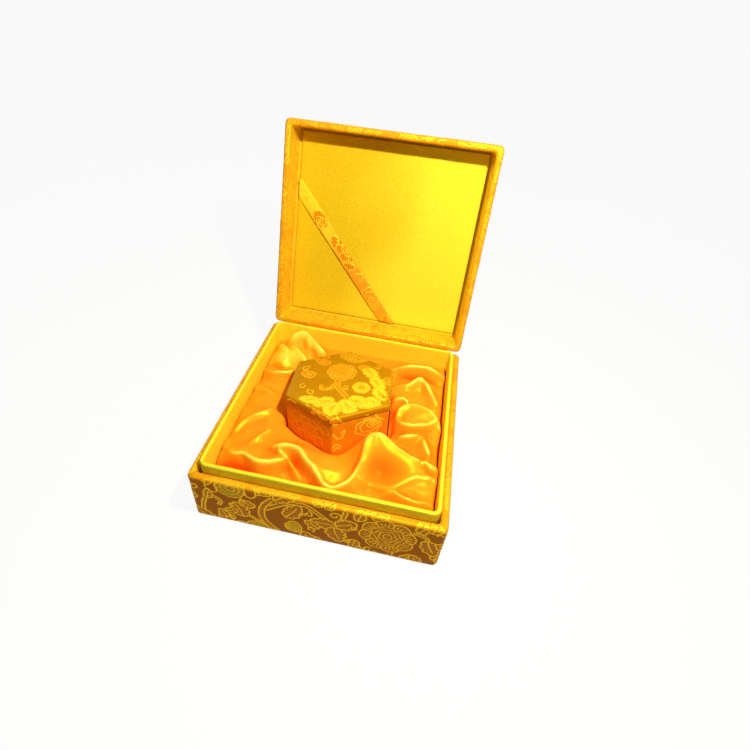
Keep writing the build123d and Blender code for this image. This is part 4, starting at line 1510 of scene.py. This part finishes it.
heights += TAUT * blurred(taut - taut.mean(), 1) * (1 - plateau)
heights = heights * (1 - plateau) + blurred(heights, 5, 2) * plateau
heights -= DIP * mound(27, -35, 13, 6)
creases = crease_depths(grid_x, grid_y)
stands_out = heights - blurred(heights, 7, 2) - 2.4 * creases
heights -= CREASE_DEPTH * creases
to_wall = WELL - np.maximum(np.abs(grid_x), np.abs(grid_y))
tuck = np.clip(1 - to_wall / 1.8, 0, 1) ** 2 * TUCK
print("satin stands", round(float(heights.min()), 1), "to", round(float(heights.max()), 1),
      "mm over the foam")

# %% [markdown]
# The colour value starts near the middle. It falls in hollows, in creases and in the tuck along
# the lip, as painted shade and red bounced light, and rises on crests, most of all on the high
# ones, as a painted highlight. A tone has a place, two half widths and a lift, and makes a whole
# patch of cloth yellower or redder: painted light and shade, as its slope to the lamp and its
# neighbours make on the real satin.

# %% Colour value of the satin
MIDDLE_VALUE = 0.43
VALUE_PER_MM = 0.13
CREST_VALUE = 0.40
TUCK_VALUE = 0.14
TONES = [(27, -33, 13, 9, -0.26), (-40, 38, 14, 12, 0.55), (-44, -47, 10, 5, -0.25),
         (0, -38, 11, 7, 0.13), (38, -46, 16, 4, -0.18), (44, 30, 12, 10, 0.12),
         (-38, -20, 12, 22, -0.08)]
crest_shine = np.exp(-(nearest_crest / 0.8) ** 2) * np.clip((heights - 11) / 4, 0.2, 1)
fold_value = (MIDDLE_VALUE + stands_out * VALUE_PER_MM + CREST_VALUE * crest_shine
              - tuck * TUCK_VALUE)
for x, y, wide, deep, lift in TONES:
    fold_value += lift * mound(x, y, wide, deep)
fold_value = np.clip(fold_value, 0, 1)
print("mean colour value:", round(float(fold_value.mean()), 2))

# %% [markdown]
# One grid is moved to the heights, with its edges tucked down along the lip. It is cut away where
# the small box stands, along the planes of its six leaning sides, and turned down round the cut.
# There its colour value falls too: painted shade in the gap beside the small box.

# %% Gathered satin
POCKET_GAP = 0.75
TURN_DOWN_WIDTH = 2.2
TURN_DOWN_DEPTH = 2.6
bm = bmesh.new()
bmesh.ops.create_grid(bm, x_segments=CELLS, y_segments=CELLS, size=1)
uv = bm.loops.layers.uv.new("flat_cloth")
fold_layer = bm.verts.layers.float.new("fold")
for vert in bm.verts:
    column, row = (round((value + 1) / 2 * CELLS) for value in vert.co.xy)
    x, y = span[column], span[row]
    vert[fold_layer] = fold_value[column, row]
    vert.co = (x, y, FOAM_TOP + heights[column, row] - tuck[column, row])
    for loop in vert.link_loops:
        loop[uv].uv = (x, y)

pocket = small_reach + POCKET_GAP
walls_around = []
for side in range(6):
    angle = math.radians(60 * side)
    facing = small_frame.to_3x3() @ Vector((math.cos(angle), math.sin(angle), 0))
    spot = small_frame @ Vector((pocket * math.cos(angle), pocket * math.sin(angle), 0))
    walls_around.append((spot, facing))
    bmesh.ops.bisect_plane(bm, geom=bm.faces[:] + bm.edges[:] + bm.verts[:], dist=0.001,
                           plane_co=spot, plane_no=facing)
inner = [face for face in bm.faces
         if all((face.calc_center_median() - spot).dot(facing) < 0 for spot, facing in walls_around)]
bmesh.ops.delete(bm, geom=inner, context="FACES")
for vert in bm.verts:
    gap = max((vert.co - spot).dot(facing) for spot, facing in walls_around)
    if gap < TURN_DOWN_WIDTH:
        push = (1 - max(gap, 0) / TURN_DOWN_WIDTH) ** 2
        vert.co.z -= TURN_DOWN_DEPTH * push
        # Painted shade: the colour value falls down the turn beside the small box
        vert[fold_layer] *= 1 - 0.5 * push
satin_area = sum(face.calc_area() for face in bm.faces)
print("satin area, mm2:", round(satin_area))
drape = finish_piece(bm, "gathered_satin", "base", [satin], ["satin_drape"])

# %% [markdown]
# Under the satin is a foam block with a leaning six-sided pocket. The small box's bed and its
# lid's plug are padded too. Each is drawn as rings that go round it: one ring is extruded into the
# next, from the bottom up and in, and the last one is closed.


# %% Rings of a padded piece
SEGMENTS = 96


def polygon_reach(angle, sides, reach, soft):
    """How far a polygon with soft corners reaches at an angle."""
    step = TURN / sides
    off = abs((angle + step / 2) % step - step / 2)
    return reach / max(math.cos(off), math.cos(step / 2) * (1 + soft))


def padded_rings(rings, place):
    """Extrudes a circle of points from ring to ring. place(ring, angle) says where each one is."""
    bm = bmesh.new()
    bmesh.ops.create_circle(bm, segments=SEGMENTS, radius=1)
    uv = bm.loops.layers.uv.new("flat_cloth")
    loop_edges = start_edges = bm.edges[:]
    angles = {vert: math.atan2(vert.co.y, vert.co.x) for vert in bm.verts}
    for vert, angle in angles.items():
        vert.co = place(rings[0], angle)
    for ring in rings[1:]:
        old = {vert: angles[vert] for edge in loop_edges for vert in edge.verts}
        grown = bmesh.ops.extrude_edge_only(bm, edges=loop_edges)["geom"]
        fresh = [item for item in grown if isinstance(item, bmesh.types.BMVert)]
        fresh_set = set(fresh)
        for vert in fresh:
            partner = next(edge.other_vert(vert) for edge in vert.link_edges
                           if edge.other_vert(vert) in old)
            angles[vert] = angles[partner]
        loop_edges = [item for item in grown if isinstance(item, bmesh.types.BMEdge)
                      and all(v in fresh_set for v in item.verts)]
        for vert in fresh:
            vert.co = place(ring, angles[vert])
    bmesh.ops.contextual_create(bm, geom=loop_edges)
    bmesh.ops.contextual_create(bm, geom=start_edges)
    bmesh.ops.recalc_face_normals(bm, faces=bm.faces)
    for face in bm.faces:
        for loop in face.loops:
            loop[uv].uv = (loop.vert.co.x, loop.vert.co.y + loop.vert.co.z)
    return bm


print("corner to side of a soft hexagon:",
      round(polygon_reach(math.pi / 6, 6, 1, 0.02) / polygon_reach(0, 6, 1, 0.02), 3))

# %% [markdown]
# The foam is square outside and six-sided round the pocket. Its last rings go down into the pocket
# in the small box's own frame, so the pocket leans as the box does.


# %% Foam block
FLOOR_TOP = 3.3
FOAM_REACH = 53.6
pocket_reach = 31.4 * HEXAGON_SHARE


def foam_place(ring, angle):
    """Square rings stand upright and hexagons lean with the small box."""
    kind, reach, height = ring
    if kind == "square":
        far = polygon_reach(angle, 4, reach, soft=0.04)
        return Vector((far * math.cos(angle), far * math.sin(angle), height))
    far = polygon_reach(angle, 6, reach, soft=0.0)
    return small_frame @ Vector((far * math.cos(angle), far * math.sin(angle), height))


foam_rings = [("square", 53.0, FLOOR_TOP), ("square", FOAM_REACH, FLOOR_TOP + 0.6),
              ("square", FOAM_REACH, FOAM_TOP - 0.6), ("square", 53.0, FOAM_TOP),
              ("hexagon", pocket_reach + 0.6, 7.6), ("hexagon", pocket_reach, 6.8),
              ("hexagon", pocket_reach, 0.4), ("hexagon", pocket_reach - 0.8, -0.3)]
bm = padded_rings(foam_rings, foam_place)
foam = finish_piece(bm, "cushion_block", "base", [foam_material], ["cushion_foam"])

# %% [markdown]
# The small hexagonal box is wrapped like the large one, in one band that goes round its six sides.
# Three of them show the figure strongly. On the other three it is woven in a thread like the
# ground's, and hardly shows.

# %% Small box cover
SMALL_CLOTH_THICK = 0.4
small_cloth = finish_piece(wrapped_cloth(small_tray), "small_box_cover", "inner_box",
                           [small_weave], ["inner_brocade"],
                           SMALL_CLOTH_THICK)
small_figure = wrap_figure("small_box_figure", small_tray, "inner_box", -8.0,
                           small_tray.downs[-1] - 0.3, (-small_tray.side_length, 0), small,
                           lambda x: x % SMALL_REPEAT < small_tray.side_length,
                           [faint_weave, pale_thread_weave])

# %% [markdown]
# The small lid has a thin pad under its cloth, so the top is slightly domed and its edges are
# soft. The cloth is closed over the top in shrinking rings, which are then lifted to the dome, and
# the drawing is lifted by the same rule.


# %% Small box lid
CROWN = 0.9
SMALL_LID_TOP = 3.4


def crown_rise(x, y):
    """How far the padded top of the small lid rises at a place."""
    angle = math.atan2(y, x)
    share = math.hypot(x, y) / polygon_reach(angle, 6, small_lid_reach - 1.1, soft=0.0)
    return CROWN * (1 - min(share, 1) ** 3)


bm = wrapped_cloth(small_lid_tray)
to_small_lid = small_lid_frame.inverted()
top_centre = small_lid_frame @ Vector((0, 0, SMALL_LID_TOP))
uv = bm.loops.layers.uv["flat_cloth"]
top_faces = close_ring(bm, lambda co: (to_small_lid @ co).z > 3.0, top_centre, rings=8)
for vert in {v for face in top_faces for v in face.verts}:
    spot = to_small_lid @ vert.co
    spot.z += crown_rise(spot.x, spot.y)
    vert.co = small_lid_frame @ spot
for face in top_faces:
    for loop in face.loops:
        loop[uv].uv = (to_small_lid @ loop.vert.co).xy
bmesh.ops.recalc_face_normals(bm, faces=bm.faces)
small_lid_cloth = finish_piece(bm, "small_lid_cover", "inner_lid",
                               [small_lid_weave], ["inner_lid_brocade"], SMALL_CLOTH_THICK)
small_lid_figure = wrap_figure("small_lid_edge_figure", small_lid_tray, "inner_lid", 0.0,
                               small_lid_tray.downs[-1], (-20, -9), small_filled)
bm = flat_figure(lid_drawing, -31, 31, -31, 31)
for side in range(6):
    angle = math.radians(60 * side)
    facing = (math.cos(angle), math.sin(angle), 0)
    trim(bm, tuple((small_lid_reach - 1.2) * part for part in facing), facing)
dome_lines = spread([], -30, 30, 5)[1:-1]
cut_fills(bm, dome_lines, dome_lines)
fold_figure(bm, lambda x, y, lift: small_lid_frame @ Vector(
    (x, y, 3.42 + crown_rise(x, y) + lift)))
small_lid_top_figure = finish_piece(bm, "small_lid_top_figure", "inner_lid",
                                    FIGURE_CLOTHS)


# %% [markdown]
# A thin pad fills the small lid, and a satin plug under it drops into the box when the lid is on.
# The bed in the box is a block of padding with a round hollow, and its satin is gathered into
# small pleats round the hollow.


# %% Pad and plug of the small lid
def lid_part_place(ring, angle):
    """A hexagon with soft corners, in the small lid's frame."""
    reach, height = ring
    far = polygon_reach(angle, 6, reach, soft=0.02)
    return small_lid_frame @ Vector((far * math.cos(angle), far * math.sin(angle), height))


pad_reach = (small_lid_corner - 0.5) * HEXAGON_SHARE - 0.3
pad_rings = [(pad_reach, 2.05), (pad_reach, 2.4), (pad_reach - 0.6, 2.8), (pad_reach - 6, 3.2),
             (pad_reach - 14, 3.4), (4, 3.5)]
lid_pad = finish_piece(padded_rings(pad_rings, lid_part_place), "small_lid_pad", "inner_lid",
                       [foam_material], ["inner_lid_pad"])

plug_reach = small_reach - small_wall - 0.45
plug_rings = [(plug_reach, 0.35), (plug_reach, -2.3), (plug_reach - 0.35, -2.85),
              (plug_reach - 1.1, -3.15), (plug_reach - 8, -3.3), (4, -3.35)]
plug = finish_piece(padded_rings(plug_rings, lid_part_place), "small_lid_plug", "inner_lid",
                    [satin], ["inner_lid_plug"])

# %% Bed of the small box
BED_TOP = 27.4
PLEATS = 32
PLEAT_DEPTH = 0.22
bed_reach = small_reach - small_wall - 0.15


def bed_place(ring, angle):
    """Rings of the bed: six-sided outside, round at the hollow, with small pleats between."""
    kind, reach, height = ring
    if kind == "hexagon":
        far = polygon_reach(angle, 6, reach, soft=0.02)
    else:
        far = reach
        height += PLEAT_DEPTH * math.cos(PLEATS * angle) * (1 if height > 26 else 0.4)
    return small_frame @ Vector((far * math.cos(angle), far * math.sin(angle), height))


bed_rings = [("hexagon", bed_reach, 2.6), ("hexagon", bed_reach, BED_TOP - 1.2),
             ("hexagon", bed_reach - 0.4, BED_TOP - 0.4), ("hexagon", bed_reach - 1.4, BED_TOP),
             ("round", 18.5, BED_TOP + 0.25), ("round", 16.8, BED_TOP + 0.1),
             ("round", 15.6, BED_TOP - 0.7), ("round", 15.0, BED_TOP - 2.0),
             ("round", 14.8, BED_TOP - 10.5), ("round", 14.0, BED_TOP - 11.6),
             ("round", 12.0, BED_TOP - 12.0), ("round", 3.0, BED_TOP - 12.0)]
bed = finish_piece(padded_rings(bed_rings, bed_place), "small_box_bed", "inner_box",
                   [satin], ["inner_cushion"])
FLAT_SATIN_VALUE = 0.55
for piece in (plug, bed):
    layer = piece.data.attributes.new("fold", "FLOAT", "POINT")
    layer.data.foreach_set("value", [FLAT_SATIN_VALUE] * len(piece.data.vertices))

# %% [markdown]
# The boards and the backing paper keep the model's own meshes and only get their materials.

# %% Boards and paper
def give_material(node, material):
    """Makes a material the only one of a node."""
    node.data.materials.clear()
    node.data.materials.append(material)


boards = [node for name, node in frame["nodes"].items()
          if name.endswith("_board") or name.startswith("inner_wall_") or name == "lid_lining_card"]
for node in boards:
    give_material(node, board_material)
give_material(frame["nodes"]["base_paper"], paper_material)
print("boards:", len(boards))

# %% [markdown]
# The model's box and the dressed box are kept, so that the two can be compared.

# %% Boxes and finish
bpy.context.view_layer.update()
total = sum(len(o.data.polygons) for o in scene.objects if o.type == "MESH")
print("faces in all:", total)
